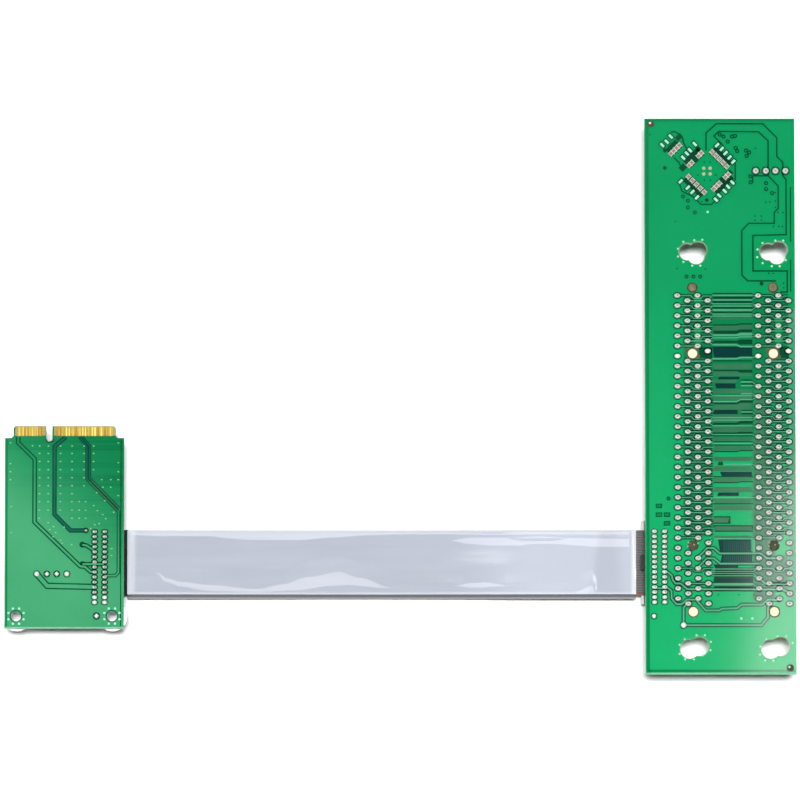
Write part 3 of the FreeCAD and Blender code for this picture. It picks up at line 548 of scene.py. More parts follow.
# Film creases: a patch faces the lower edge, and lies between two lines given as pixels of the photo
FILM_PATCHES = [
    (
        [
            (157, 573.5), (166, 581), (180, 586), (206, 590.5), (258, 591.5), (295, 590), (332, 585.4),
            (349, 584.5), (392, 588),
        ],
        [
            (157, 572.5), (166, 578), (180, 581.5), (206, 584), (258, 588.3), (282, 584), (310, 576),
            (339, 571), (360, 577), (392, 587),
        ],
    ),
    (
        [
            (454, 540.6), (470, 543), (490, 544.6), (520, 544.8), (532, 543.3), (556, 543.3), (575, 544.8),
            (596, 546.4), (632, 546.4),
        ],
        [
            (454, 539.5), (470, 537), (502, 537), (524, 540.6), (552, 540.6), (575, 537.4), (596, 538),
            (632, 538),
        ],
    ),
    (
        [(505, 538), (540, 537.6), (574, 538)],
        [(505, 537.6), (540, 535.8), (574, 537.4)],
    ),
    (
        [(458, 585.6), (475, 587), (505, 585.6)],
        [(458, 585.4), (470, 582.6), (487, 582), (505, 584.6)],
    ),
    (
        [(575, 592), (594, 592), (598, 592)],
        [(575, 591.6), (594, 585), (598, 591.8)],
    ),
]
PATCH_SLOPE = math.tan(math.radians(3.8))
PATCH_EASE = 4.0
BAND_EASE = 12.0
# The film's left end lifts away from the sleeve and lies back over some millimetres
END_LENGTH = 1.8
END_BOW = 0.7
END_SLOPE = math.tan(math.radians(8.0))
END_EASE = 16.0
FILM_LEAD = 0.42
UPPER_BAND = [
    (128, 534), (152, 535.2), (206, 535.5), (230, 538), (252, 539.5), (300, 539.5),
    (330, 537), (370, 534.5), (400, 533.5), (440, 533.5), (500, 534), (637, 534),
]
UPPER_SLOPE = math.tan(math.radians(9.0))
FILM_EDGE = 0.6
FILM_WAVE = 0.02
# The lower edge: the wrap's fold, painted dark as its shadow and fading paler to the edge, and a lip above
# it that leans a little
FILM_DROP = 0.7
SHADOW_FOLD_WIDTH = 1.12
LIP_END = 1.68
LIP_SLOPE = math.tan(math.radians(4.3))
FILM_COLUMNS = 360
FILM_ROWS = 150
FILM_UNDERSIDE_ROWS = 12


def along(line, x):
    """Height of a line of points at x, or None past its ends."""
    for (x0, y0), (x1, y1) in zip(line, line[1:]):
        if x0 <= x <= x1:
            share = (x - x0) / (x1 - x0)
            ease = share * share * (3 - 2 * share)
            return y0 + ease * (y1 - y0)
    return None


PATCH_LINES = [(spots(*low), spots(*high)) for low, high in FILM_PATCHES]
UPPER_LINE = spots(*UPPER_BAND)
FILM_FRONT = FILM_LOW[1] - FILM_DROP
FILM_BACK = FILM_HIGH[1]
FILM_MIDDLE = (FILM_FRONT + FILM_BACK) / 2
FILM_HALF = (FILM_BACK - FILM_FRONT) / 2
FILM_THICKNESS = RIBBON_THICKNESS + 0.3


def crease(x, y):
    """How far the film stands over its flat face, in millimetres."""
    rise = 0.0
    for low_line, high_line in PATCH_LINES:
        low = along(low_line, x)
        high = along(high_line, x)
        if low is None or high is None or high <= low:
            continue
        slope = PATCH_SLOPE * max(0.0, min(y, high) - low)
        rise += slope * max(0.0, 1 - max(0.0, y - high) / PATCH_EASE)
    border = along(UPPER_LINE, x)
    if border is not None and y >= border:
        rise += UPPER_SLOPE * (FILM_BACK - y)
    elif border is not None:
        rise += UPPER_SLOPE * (FILM_BACK - border) * max(0.0, 1 - (border - y) / BAND_EASE)
    bow = END_LENGTH - END_BOW * ((y - FILM_MIDDLE) / FILM_HALF) ** 4
    start = x - FILM_LOW[0] + FILM_LEAD
    rise += END_SLOPE * min(start, bow) * max(0.0, 1 - max(0.0, start - bow) / END_EASE)
    rise -= LIP_SLOPE * min(max(LIP_END - (y - FILM_FRONT), 0.0), LIP_END - SHADOW_FOLD_WIDTH)
    return rise + FILM_WAVE * noise.noise((x * 0.12, y * 0.25, 0.0))


def film_height(y):
    """Half the wrapped thickness at a place across the film: flat, rounded at its edges."""
    inset = FILM_HALF - abs(y - FILM_MIDDLE)
    drop = max(0.0, 1 - inset / FILM_EDGE)
    return FILM_THICKNESS / 2 * math.sqrt(max(0.0, 1 - drop * drop))


def make_film():
    stations = [0.0, 0.0002] + [column / FILM_COLUMNS for column in range(1, FILM_COLUMNS)] + [0.9998, 1.0]
    left = FILM_LOW[0] - FILM_LEAD
    sections = []
    for station in stations:
        x = left + (FILM_HIGH[0] - left) * station
        middle = level_at(x)
        outline = []
        for row in range(FILM_ROWS + 1):
            y = FILM_FRONT + 2 * FILM_HALF * row / FILM_ROWS
            outline.append((x, y, middle + film_height(y) + crease(x, y) - 0.04))
        for row in range(FILM_UNDERSIDE_ROWS, -1, -1):
            y = FILM_FRONT + 2 * FILM_HALF * row / FILM_UNDERSIDE_ROWS
            outline.append((x, y, middle - film_height(y) - 0.02))
        sections.append(outline)
    film = loft(sections, "film", FILM, "film_silver", ["cable_film"])
    # The lower margin takes the painted shadow of the fold
    film.data.materials.append(SHADOW_FOLD)
    for polygon in film.data.polygons:
        if polygon.center.y < (FILM_FRONT + SHADOW_FOLD_WIDTH) * MM:
            polygon.material_index = 1
    return film


# A black sleeve closes the film at the mini card's end; its near-black, darker than the other black plastic,
# is partly painted shade from the card's edge above it
SLEEVE_LENGTH = 2.2
SLEEVE_COVER = 0.3
SLEEVE_SWELL = 0.04
SLEEVE_STEPS = 6
SLEEVE_SIDES = 40


def swelled(value, power):
    """A share of one pushed outwards, with its sign kept."""
    return math.copysign(abs(value) ** power, value)


def make_sleeve():
    sections = []
    for step in range(SLEEVE_STEPS + 1):
        x = FILM_LOW[0] - SLEEVE_LENGTH + SLEEVE_COVER + SLEEVE_LENGTH * step / SLEEVE_STEPS
        middle = level_at(x)
        grow = SLEEVE_SWELL * math.sin(math.pi * step / SLEEVE_STEPS)
        outline = []
        for side in range(SLEEVE_SIDES):
            turn = 2 * math.pi * (side + 0.5) / SLEEVE_SIDES
            across = -swelled(math.cos(turn), 0.2) * (RIBBON_WIDTH / 2 + 0.06 + grow)
            up = swelled(math.sin(turn), 0.35) * (RIBBON_THICKNESS / 2 + 0.03 + grow)
            outline.append((x, ROUTE[0][1] + across, middle + up))
        sections.append(outline)
    loft(sections, "film_sleeve", SLEEVE_BLACK_AND_SHADE, "black_plastic")


# Spacers under the mini card's screw holes, of which only the lower rims show
SPACER_BORE = 1.35
SPACER_RADIUS = 3.75
SPACER_HEIGHT = 3.0
SPACER_STEP = 0.25


def make_spacers():
    build = Build()
    low = MINI_LOW[2] - SPACER_HEIGHT
    for centre in MINI_SCREWS:
        build.ring(centre, SPACER_BORE, SPACER_RADIUS, low, MINI_LOW[2], 40)
        build.ring(centre, SPACER_BORE, SPACER_RADIUS - SPACER_STEP, low - SPACER_STEP, low, 40)
    build.make("mini_card_spacers", NYLON, "white_plastic")


# Moulded pieces: the solids with their edges rounded

FLAT_ANGLE = math.radians(1)
SHARP_ANGLE = math.radians(25)


def soften(node, width, material):
    """A copy of a solid with rounded edges, which stands for it."""
    shape = bmesh.new()
    shape.from_mesh(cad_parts[node].data)
    bmesh.ops.remove_doubles(shape, verts=shape.verts, dist=0.001 * MM)
    bmesh.ops.dissolve_limit(shape, angle_limit=FLAT_ANGLE, verts=shape.verts, edges=shape.edges)
    sharp = [edge for edge in shape.edges if edge.is_manifold and edge.calc_face_angle() > SHARP_ANGLE]
    bmesh.ops.bevel(
        shape, geom=sharp, offset=width * MM, segments=2, affect="EDGES", clamp_overlap=True, profile=0.5
    )
    mesh = bpy.data.meshes.new(f"{node}_moulding")
    shape.to_mesh(mesh)
    shape.free()
    return finish_piece(f"{node}_moulding", mesh, material, False, [node])


for end in ("mini", "riser"):
    body, clamp = f"{end}_plug_body", f"{end}_plug_clamp"
    soften(body, 0.15, BLACK_PLASTIC)
    soften(clamp, 0.15, GREY_PLASTIC)
    soften(f"{end}_header_base", 0.12, BLACK_PLASTIC)
for number in (1, 2):
    soften(f"slot_{number}_housing", 0.15, IVORY)
soften("power_header_body", 0.15, NYLON)
soften("bridge_chip", 0.05, CHIP_BLACK)

film = make_film()
make_ribbon()


# Solder joints

SLOT_AXES = [node_centre(f"slot_{number}_housing")[0] for number in (1, 2)]
SLOT_CENTRE = node_centre("slot_1_housing")[1]
CONTACT_ROWS = 62
CONTACT_PITCH = 1.27
COLUMN_PITCH = 2.54
KEY_ROWS = (11, 12)
SPARE_KEY_ROWS = (49, 50)
OPEN_ROWS = KEY_ROWS + SPARE_KEY_ROWS
JOINT_PROFILE = (
    (0.76, 0.0), (0.76, 0.05), (0.71, 0.2), (0.58, 0.38), (0.43, 0.52), (0.28, 0.62), (0.1, 0.66),
)
JOINT_STRETCH = (1.04, 0.79)
TAIL_SIZE = (0.46, 0.36)
TAIL_LEAN = 0.06
FLAT_PROFILE = ((0.76, 0.0), (0.76, 0.06), (0.68, 0.2), (0.5, 0.32), (0.26, 0.38), (0.08, 0.4))


def slot_sites():
    """Row, column from the slot axis, and whether the hole holds a contact."""
    for row in range(CONTACT_ROWS):
        for column in (-1.5, 0.5) if row % 2 == 0 else (-0.5, 1.5):
            if row in OPEN_ROWS and abs(column) < 1:
                continue
            yield row, column, row not in KEY_ROWS


def row_level(row):
    return SLOT_CENTRE + ((CONTACT_ROWS - 1) / 2 - row) * CONTACT_PITCH


def lifted(profile, base):
    return [(radius, base + level) for radius, level in profile]


def make_slot_joints(number, axis):
    joints = Build()
    tails = Build()
    for row, column, has_contact in slot_sites():
        centre = (axis + column * COLUMN_PITCH, row_level(row))
        profile = JOINT_PROFILE if has_contact else FLAT_PROFILE
        joints.lathe(centre, lifted(profile, RISER_TOP), stretch=JOINT_STRETCH)
        if has_contact:
            lean = TAIL_LEAN * noise.noise((row * 0.7, column * 3.1, number))
            tip = (centre[0] + lean, centre[1] + 0.05)
            tails.box(tip, *TAIL_SIZE, RISER_TOP + 0.45, RISER_TOP + 0.8 + lean)
    joints.make(f"slot_{number}_joints", SOLDER, "solder", True, [f"slot_{number}_solder"])
    tails.make(f"slot_{number}_tails", SHADED_TAIL_METAL, "pin_metal")


for number, axis in enumerate(SLOT_AXES, start=1):
    make_slot_joints(number, axis)


# Board dressing: thin layers laid on a board's solder side, each kind at its own level over the face

SUNK = -0.002
LAYERS = {
    "clearance": (BARE_MASK, "board_green", 0.010),
    "field": (FINE_MASK, "board_green", 0.015),
    "margin": (MARGIN_MASK, "board_green", 0.012),
    "window": (TEAL_MASK, "board_green", 0.020),
    "track": (TRACE_MASK, "board_green", 0.026),
    "pour_track": (MINI_MASK, "board_green", 0.026),
    "shade": (SHADE_MASK, "board_green", 0.026),
    "tented": (BARE_MASK, "board_green", 0.030),
    "dots": (VIA_METAL, "solder", 0.034),
    "via_glints": (MINI_VIA_GLINT, "board_green", 0.034),
    "plate": (TONGUE, "gold", 0.02),
    "bevel": (BEVEL, "gold", 0.046),
    "rim": (TAN, "solder", 0.024),
    "cut_edge": (CUT_EDGE_HIGHLIGHT, "board_green", 0.014),
    "pads": (BARE_TIN, "solder", 0.036),
    "tan": (TAN, "solder", 0.036),
    "print": (PRINT, "white_plastic", 0.038),
}


class Dressing:
    """The layers of one board, gathered by kind."""

    def __init__(self, board, top):
        self.board = board
        self.top = top
        self.builds = {kind: Build() for kind in LAYERS}

    def levels(self, kind):
        return self.top + SUNK, self.top + LAYERS[kind][2]

    def strip(self, kind, width, *lines):
        for line in lines:
            self.builds[kind].strip(line, width, *self.levels(kind))

    def edges(self, rows):
        for kind, width, *ends in rows:
            self.strip(kind, width, ends)

    def track(self, width, clearance, *lines, kind="track"):
        """Copper under the mask with a dark gap in the pour along each side."""
        self.strip("clearance", width + 2 * clearance, *lines)
        self.strip(kind, width, *lines)

    def discs(self, kind, radius, centres, stretch=1.0):
        for x, y in centres:
            outline = [(x + (px - x) * stretch, py) for px, py in circle((x, y), radius, 16)]
            self.builds[kind].prism(outline, *self.levels(kind))

    def rings(self, kind, inner, outer, centres):
        for centre in centres:
            self.builds[kind].ring(centre, inner, outer, *self.levels(kind))

    def box(self, kind, centre, width, length, turn=0.0):
        self.builds[kind].box(centre, width, length, *self.levels(kind), turn)

    def band(self, kind, upper, lower):
        self.builds[kind].band(upper, lower, *self.levels(kind))

    def make(self):
        for kind, build in self.builds.items():
            if build.points:
                build.make(f"{self.board}_{kind}", LAYERS[kind][0], LAYERS[kind][1])


riser = Dressing("riser", RISER_TOP)
mini = Dressing("mini", MINI_TOP)

# Riser: strips along the pour's edge, which is held back from the cut edge: kind, width and both ends
LEFT, FRONT = RISER_LOW[:2]
RIGHT, BACK = RISER_HIGH[:2]
RISER_EDGES = (
    ("margin", 0.75, (LEFT + 0.7, FRONT + 0.3), (LEFT + 0.7, BACK - 0.3)),
    ("clearance", 0.2, (LEFT + 0.95, FRONT + 0.8), (LEFT + 0.95, BACK - 0.6)),
    ("margin", 0.6, (LEFT + 0.9, FRONT + 0.95), (RIGHT - 0.3, FRONT + 0.95)),
    ("margin", 0.4, (LEFT + 0.9, BACK - 0.5), (RIGHT - 0.3, BACK - 0.5)),
    # A pale strip along the lower edge: the laminate's edge with a painted highlight
    ("cut_edge", 0.45, (LEFT + 0.02, FRONT + 0.25), (RIGHT - 0.02, FRONT + 0.25)),
    ("clearance", 0.3, spot(791.6, 187), spot(791.6, 242)),
    ("clearance", 0.3, spot(791.6, 260), spot(791.6, 292)),
)
riser.edges(RISER_EDGES)

# Riser: single dark gaps in the pour
POUR_GAP = 0.37
POUR_GAPS = (
    spots(
        (707.3, 150), (707.3, 132.4), (717.6, 123.1), (764.2, 123.1), (778.2, 137.3), (778.2, 156.1),
        (784.2, 162.1), (784.2, 175.5), (787.3, 179.1), (787.3, 234.8), (753.9, 235.5), (753.9, 271.2),
        (788.1, 271.2), (788.1, 292.4), (781.2, 292.4),
    ),
    spots(
        (724, 144.5), (715.2, 135.5), (720, 130.8), (760, 131.2), (769.5, 140.3), (769.5, 175.5),
        (779.4, 185.8), (779.4, 208.2), (775.4, 212.4), (775.4, 223.3), (749.7, 223.3), (742.8, 230.6),
        (742.8, 275.5), (748.5, 281.2), (777, 281.2),
    ),
    spots((736.4, 160.3), (736.4, 180.3)),
    spots((680, 182), (683, 191), (695.8, 197.3), (701.8, 204.3), (712.7, 204.3), (717.6, 199)),
    spots((753.9, 182.7), (753.9, 175.5), (769.5, 175.5)),
    spots((684.5, 142), (689, 150)),
    spots((672, 131.5), (676, 131), (681, 134), (684, 138), (684.5, 142)),
    spots((675, 157), (680, 162), (682, 166)),
)
riser.strip("clearance", POUR_GAP, *POUR_GAPS)

# Riser: vias, most of them under the mask
WIDE_VIAS = spots((762.4, 284), (665.9, 167.6), (707.8, 200))
RING_VIAS = spots(
    (724.8, 136), (733.3, 136), (729, 141), (721, 134), (737, 147.6), (747.3, 150), (748, 155.5),
    (751.5, 176), (752, 182), (767.3, 183), (767.3, 189), (773.3, 193), (736.4, 135.4), (738.4, 150.6),
    (750.4, 152),
)
SMALL_VIAS = spots(
    (776.5, 192.4), (776.5, 201), (776.5, 207.4), (779, 212.4), (784, 212.4), (774.5, 226.5),
    (780, 226.5), (783.5, 226.5), (756, 216), (762.5, 216), (756, 220), (762.5, 220), (767, 202),
    (771, 202), (676.5, 221.5), (678, 268.7), (706.3, 269.3), (769.5, 273.5), (774, 273.5),
    (784.5, 283.5), (784.5, 288), (702.8, 201.5), (697.7, 155), (705.5, 161.8), (711.4, 161.8),
    (705.5, 180), (711.4, 180), (699, 174.8), (717, 174.8), (718, 595.3), (738.5, 595.3), (753.7, 595.6),
    (756.6, 147.8), (650.8, 134.2),
)
THIN_RING_VIAS = spots(
    (684, 196.3), (688.9, 200.6), (688.9, 207.5), (695.8, 212.4), (687.3, 276.8), (694.2, 276.8),
    (701, 276.8), (668.6, 499.3),
)
TAN_VIAS = spots((704.9, 167.9), (711.3, 167.9), (704.9, 173.6), (711.3, 173.6))
BRIGHT_VIAS = spots((708.7, 211.8), (741, 619), (752, 619))
riser.discs("tented", 0.5, WIDE_VIAS)
riser.rings("tented", 0.22, 0.55, RING_VIAS)
riser.discs("tented", 0.2, SMALL_VIAS)
riser.rings("tented", 0.18, 0.52, THIN_RING_VIAS)
riser.discs("tan", 0.42, TAN_VIAS)
riser.discs("dots", 0.3, BRIGHT_VIAS)

# Riser: dots round the screw holes
HOLE_DOTS = spots(
    (684.2, 241.9), (695.2, 240.3), (703.3, 239.9), (678.8, 248.8), (678.8, 256.7), (684.2, 262.1),
    (693, 265.8), (701.2, 265.8), (763.6, 243.1), (776.4, 240.7), (784.2, 240.7), (758.5, 249.6),
    (758.2, 257.3), (763.6, 263.3), (772.7, 266.4), (780.6, 266.4), (786.7, 260.3), (696.2, 635.7),
    (704.5, 635.7), (684.4, 639.6), (679.3, 645.2), (710.4, 642.3), (710.1, 650.6), (679.3, 654.3),
    (684.7, 659.7), (693.5, 659.7), (702.3, 655.7), (777.1, 636.7), (785.5, 636.7), (765.8, 639.6),
    (759.9, 647), (759.5, 655), (764.6, 660.9), (772.7, 660.9), (792, 643.3),
)
riser.discs("dots", 0.26, HOLE_DOTS)

# Riser: rims of the screw holes, which are circles that overlap, given from the slot's axis
UPPER_HOLES = (2.1, node_box("slot_1_housing")[1][1] + 7.4, ((-1.2, 0.0), (1.55, 0.45), (1.0, -1.0)))
LOWER_HOLES = (2.35, RISER_LOW[1] + 6.4, ((-0.95, 0.0), (1.5, 0.65)))
RIM_WIDTH = 0.13


def dress_hole(axis, radius, level, places):
    """A thin band round the outline that the overlapping circles leave open."""
    centres = [(axis + across, level + up) for across, up in places]
    for centre in centres:
        others = [other for other in centres if other is not centre]
        inward = math.atan2(sum(y - centre[1] for x, y in others), sum(x - centre[0] for x, y in others))
        inner = []
        outer = []
        for step in range(0, 360, 5):
            turn = inward + math.radians(step)
            point = turned(centre, radius, 0, turn)
            if all(math.dist(point, other) > radius for other in others):
                inner.append(point)
                outer.append(turned(centre, radius + RIM_WIDTH, 0, turn))
        riser.band("rim", inner, outer)


# Riser: round targets in two corners, each a dark disc of painted shade with a bright dot set up and to the
# left as a painted glint
TARGETS = spots((652, 123.3), (789.6, 668.2))


def make_targets():
    shade_rims = Build()
    dots = Build()
    for x, y in TARGETS:
        shade_rims.lathe((x, y), lifted(((0.92, -0.002), (0.92, 0.03), (0.8, 0.045)), RISER_TOP), 24)
        dots.lathe((x - 0.22, y + 0.24), lifted(((0.3, 0.03), (0.28, 0.09), (0.16, 0.12)), RISER_TOP), 20)
    shade_rims.make("riser_target_shade_discs", SHADE_RIM, "black_plastic")
    dots.make("riser_target_glints", SOLDER, "solder", True)


# Riser: the diamond of capacitors behind the chip
CHIP_CENTRE = node_centre("bridge_chip")[:2]
CAPACITOR_ROWS = (
    (135, 4.3, (-2.2, -1.2, 1.2, 2.2)),
    (45, 4.3, (-2.6, -1.3, 0.0, 1.3, 2.6)),
    (225, 4.3, (-3.2, -1.8, -0.4, 1.0, 2.4)),
    (315, 4.3, (-3.2, -2.2, 0.0, 1.0, 2.0)),
    (135, 9.6, (-3.3, -2.3, -1.3, -0.3)),
)
CAPACITOR_LENGTH = 1.1
CAPACITOR_WIDTH = 0.6
CAPACITOR_HEIGHT = 0.55
CAP_LENGTH = 0.24
SPARE_PADS = {
    135: (
        (671.9, 136), (667.9, 141.2), (663.3, 144.6), (696, 143.5), (691.2, 149.8), (688, 153),
        (684.3, 157.3),
    ),
    45: ((718.4, 144.6), (723, 148.4), (726.8, 152.7), (730.8, 157), (734.5, 161.3)),
    315: ((733.6, 182.2), (729.3, 186.5), (725.9, 190.9), (720.4, 195.4), (717, 199.5)),
    225: ((681.7, 181.1), (688.9, 187.4), (693.5, 191.7), (698.1, 197.2)),
}
# Open patches in the pour round the diamond: the middle and both sizes in millimetres
OPEN_PATCHES = (
    ((684, 167.2), 1.7, 1.5), ((731, 172.6), 1.3, 1.3), ((680, 136.6), 1.8, 1.3), ((666, 150), 0.9, 0.9),
    ((699.4, 148.6), 1.2, 1.0),
)


def dress_chip_back():
    bodies = Build()
    ends = Build()
    for degrees, distance, places in CAPACITOR_ROWS:
        turn = math.radians(degrees)
        reach = max(places) - min(places)
        middle = (max(places) + min(places)) / 2
        riser.box("tented", turned(CHIP_CENTRE, distance + 1.25, -middle, turn), 1.1, reach + 0.6, turn)
        riser.box("tented", turned(CHIP_CENTRE, distance, -middle, turn), 1.7, reach + 1.3, turn)
        for along_row in places:
            centre = turned(CHIP_CENTRE, distance, -along_row, turn)
            body = (CAPACITOR_LENGTH - 2 * CAP_LENGTH, CAPACITOR_WIDTH - 0.05)
            bodies.box(centre, *body, RISER_TOP, RISER_TOP + CAPACITOR_HEIGHT - 0.03, turn)
            for side in (-1, 1):
                shift = side * (CAPACITOR_LENGTH - CAP_LENGTH) / 2
                end = turned(CHIP_CENTRE, distance + shift, -along_row, turn)
                ends.box(end, CAP_LENGTH, CAPACITOR_WIDTH, RISER_TOP, RISER_TOP + CAPACITOR_HEIGHT, turn)
                outline = turned(CHIP_CENTRE, distance, -along_row + side * 0.45, turn)
                riser.box("print", outline, CAPACITOR_LENGTH + 0.3, 0.12, turn)
    bodies.make("capacitor_bodies", CERAMIC, "ceramic", False, ["chip_capacitors"])
    ends.make("capacitor_ends", CERAMIC_END, "solder")
    for pixel, width, length in OPEN_PATCHES:
        riser.box("tented", spot(*pixel), width, length, math.radians(45))
    for degrees, pads in SPARE_PADS.items():
        for pad in spots(*pads):
            riser.box("tented", pad, 1.9, 1.2, math.radians(degrees))
            riser.box("pads", pad, 1.25, 0.6, math.radians(degrees))


# Bridge chip: bent leads along its four sides, soldered to the riser's underside
LEADS_PER_SIDE = 25
LEAD_PITCH = 0.36
LEAD_WIDTH = 0.18
LEAD_ROOT = 4.95
LEAD_KNEE = 5.4
LEAD_TIP = 6.0
LEAD_THICKNESS = 0.11
LEAD_DROP = 0.45


def make_chip_leads():
    leads = Build()
    foot = RISER_LOW[2]
    shoulder = foot - LEAD_DROP
    for side in range(4):
        turn = math.radians(45 + 90 * side)
        for number in range(LEADS_PER_SIDE):
            across = (number - (LEADS_PER_SIDE - 1) / 2) * LEAD_PITCH
            for start, stop, low, high in (
                (LEAD_ROOT, LEAD_KNEE, shoulder, shoulder + LEAD_THICKNESS),
                (LEAD_KNEE, LEAD_KNEE + LEAD_THICKNESS, shoulder, foot),
                (LEAD_KNEE + LEAD_THICKNESS, LEAD_TIP, foot - LEAD_THICKNESS, foot),
            ):
                centre = turned(CHIP_CENTRE, (start + stop) / 2, across, turn)
                leads.box(centre, stop - start, LEAD_WIDTH, low, high, turn)
    leads.make("bridge_chip_leads", PIN_METAL, "pin_metal")


# Riser: tracks between the slots, in pixels of the photo: the upper and lower edge on the left of the
# jog, how far each edge is shifted on its right, and where the band is short, its ends
BUS_LEFT = 713.0
BUS_RIGHT = 753.0
BUS_SLANT = 1.8
BUS_JOG = (737.0, 741.0)
BUS_WHOLE = (0, 0, BUS_LEFT, BUS_RIGHT)
BUS = {
    "clearance": (
        (293.2, 294.5), (296.8, 299.2), (301.4, 303.4), (307.4, 309.1), (311.9, 313.4),
        (324.7, 326, -1, -1), (331.1, 334.3, -1.2, -1.5), (341.2, 343.6, -1.2, 1.4), (360.8, 362.1),
        (370.3, 371.8, 0, 1.5), (380.1, 381.4, 0, 0, 741, 753), (383.9, 385.2, 0, 0, 741, 753),
        (403.3, 405, -2.5, -1.6), (410.2, 411.6, 0, 0, 741, 753), (413.5, 415.2, 0, 0, 741, 753),
        (423.4, 425.4, -2, -1), (433.1, 434.5, -0.8, -0.2), (435.8, 436.9), (441.9, 443), (445.2, 446.3),
        (451.7, 452.9, -1, -1), (462.4, 466.1, 0, 0, 718, 723), (476.8, 478), (482.6, 483.9, -0.8, -0.8),
        (503.9, 505.2), (516.9, 524.6, 0, 0, 712, 730.5), (525.8, 532.6), (568.2, 583.7), (586.3, 588.8),
        (590.7, 591.9),
    ),
    "field": (
        (317.6, 319.8, -0.5, -0.5), (326.2, 330.8, -1, -1), (364.5, 369.8), (372.1, 376.7, 1.5, 0),
        (380.3, 383.3, 0, 0, 712, 738), (389.9, 393.8), (397.1, 400.9, 0, -0.5), (405.3, 410.4, -1.6, 0),
        (415.4, 423, 0, -1.5), (427.4, 432.6), (437.8, 441.7), (446.4, 451.4, 0, -0.8), (457.4, 462),
        (466.9, 471.8), (478.3, 482.3, 0, -0.8), (487.5, 493), (499.2, 503.8), (505.8, 511.2),
        (518.2, 523.3, 0, 0, 712, 729.5), (527.1, 531.3), (536.4, 538.7),
    ),
    "window": (
        (347.2, 358, 0.8, -1), (377.3, 380, 0, 0, 718, 740), (384, 389, 0, 0, 715, 736),
        (410.5, 414.8, 0, 0, 713, 738), (472.5, 476.8, 0, 0, 720, 752), (493.2, 496.7, 0, 0, 717, 739),
        (540.1, 553.4, 0, 0, 718, 751), (555.4, 563.6, 0, 0, 720, 752), (565, 568.2, 0, 0, 713, 738),
        (579, 582.6, 0, 0, 714, 750),
    ),
    "track": (
        (295, 296.5), (299.6, 301), (303.7, 304.5), (305.9, 307), (309.5, 311.5), (314, 315), (316, 317),
        (334.8, 336.5, -1.6, -0.5), (337.8, 338.9, -1, -1), (344.6, 346, 1.8, 1.8),
        (358.6, 360, -1.2, -1.2), (381.9, 383.1, 0, 0, 741, 753), (385.7, 386.9, 0, 0, 741, 753),
        (393.9, 394.9, 0, 0, 741, 753), (395.9, 396.9), (401.6, 402.8, -2, -2),
        (412.1, 413.1, 0, 0, 741, 753), (417.8, 418.8), (420.3, 421.3), (426, 427), (434.9, 435.8),
        (443.7, 444.7), (464.5, 465.6, 0, 0, 724, 753), (497.8, 498.8), (538.9, 539.8), (569.2, 570.1),
        (571.8, 572.4), (573.8, 574.4), (576, 576.8), (584, 585.5),
    ),
}

# Riser: the pour is open beside two pegs
PEG_WINDOWS = (((699.8, 347.5), (713, 358.4)), ((780, 347), (789.5, 358.6)))

# Riser: a grille of short lines in two windows, and the patch at its end
GRILLE_COLUMNS = range(724, 751, 2)
GRILLE_ROWS = ((541.6, 552.2), (556.4, 562.6))
GRILLE_PATCH = spot(753.6, 546.6)


OUTER_COLUMN = 1.5 * COLUMN_PITCH
FAN_OVERLAP = 0.1


def fan_out(px, py, column, first_row, overlap):
    """Join a track's end to the nearest pad of the column that it faces."""
    x, y = spot(px, py)
    levels = [row_level(row) for row in range(first_row, CONTACT_ROWS, 2)]
    pad = min(levels, key=lambda level: abs(level - y))
    riser.track(0.24, 0.2, [(column, pad), (x + overlap, y)])


def dress_bus():
    for (left, upper), (right, lower) in PEG_WINDOWS:
        riser.band("clearance", spots((left, upper), (right, upper)), spots((left, lower), (right, lower)))
    for kind, bands in BUS.items():
        for number, (upper, lower, *rest) in enumerate(bands):
            upper_shift, lower_shift, left, right = (*rest, *BUS_WHOLE[len(rest):])
            turns = [px for px in BUS_JOG if left < px < right]
            slant = min(BUS_SLANT, 0.7 * (lower - upper), 0.1 * (right - left))
            edges = []
            for level, shift in ((upper, upper_shift), (lower, lower_shift)):
                cut = slant if (level == upper) == bool(number % 2) else 0.0
                line = [(left + cut, level if left < BUS_JOG[1] else level + shift)]
                line += [(px, level if px == BUS_JOG[0] else level + shift) for px in turns]
                line.append((right - cut if kind == "field" else right, level + shift))
                edges.append(spots(*line))
            riser.band(kind, *edges)
            middle = (upper + lower) / 2
            if kind == "track" and left == BUS_LEFT:
                fan_out(left, middle, SLOT_AXES[0] + OUTER_COLUMN, 1, FAN_OVERLAP)
            if kind == "track" and right == BUS_RIGHT:
                middle += (upper_shift + lower_shift) / 2
                fan_out(right, middle, SLOT_AXES[1] - OUTER_COLUMN, 0, -FAN_OVERLAP)
    for px in GRILLE_COLUMNS:
        riser.strip("shade", 0.13, *(spots((px, upper), (px, lower)) for upper, lower in GRILLE_ROWS))
    riser.box("track", GRILLE_PATCH, 0.6, 3.2)


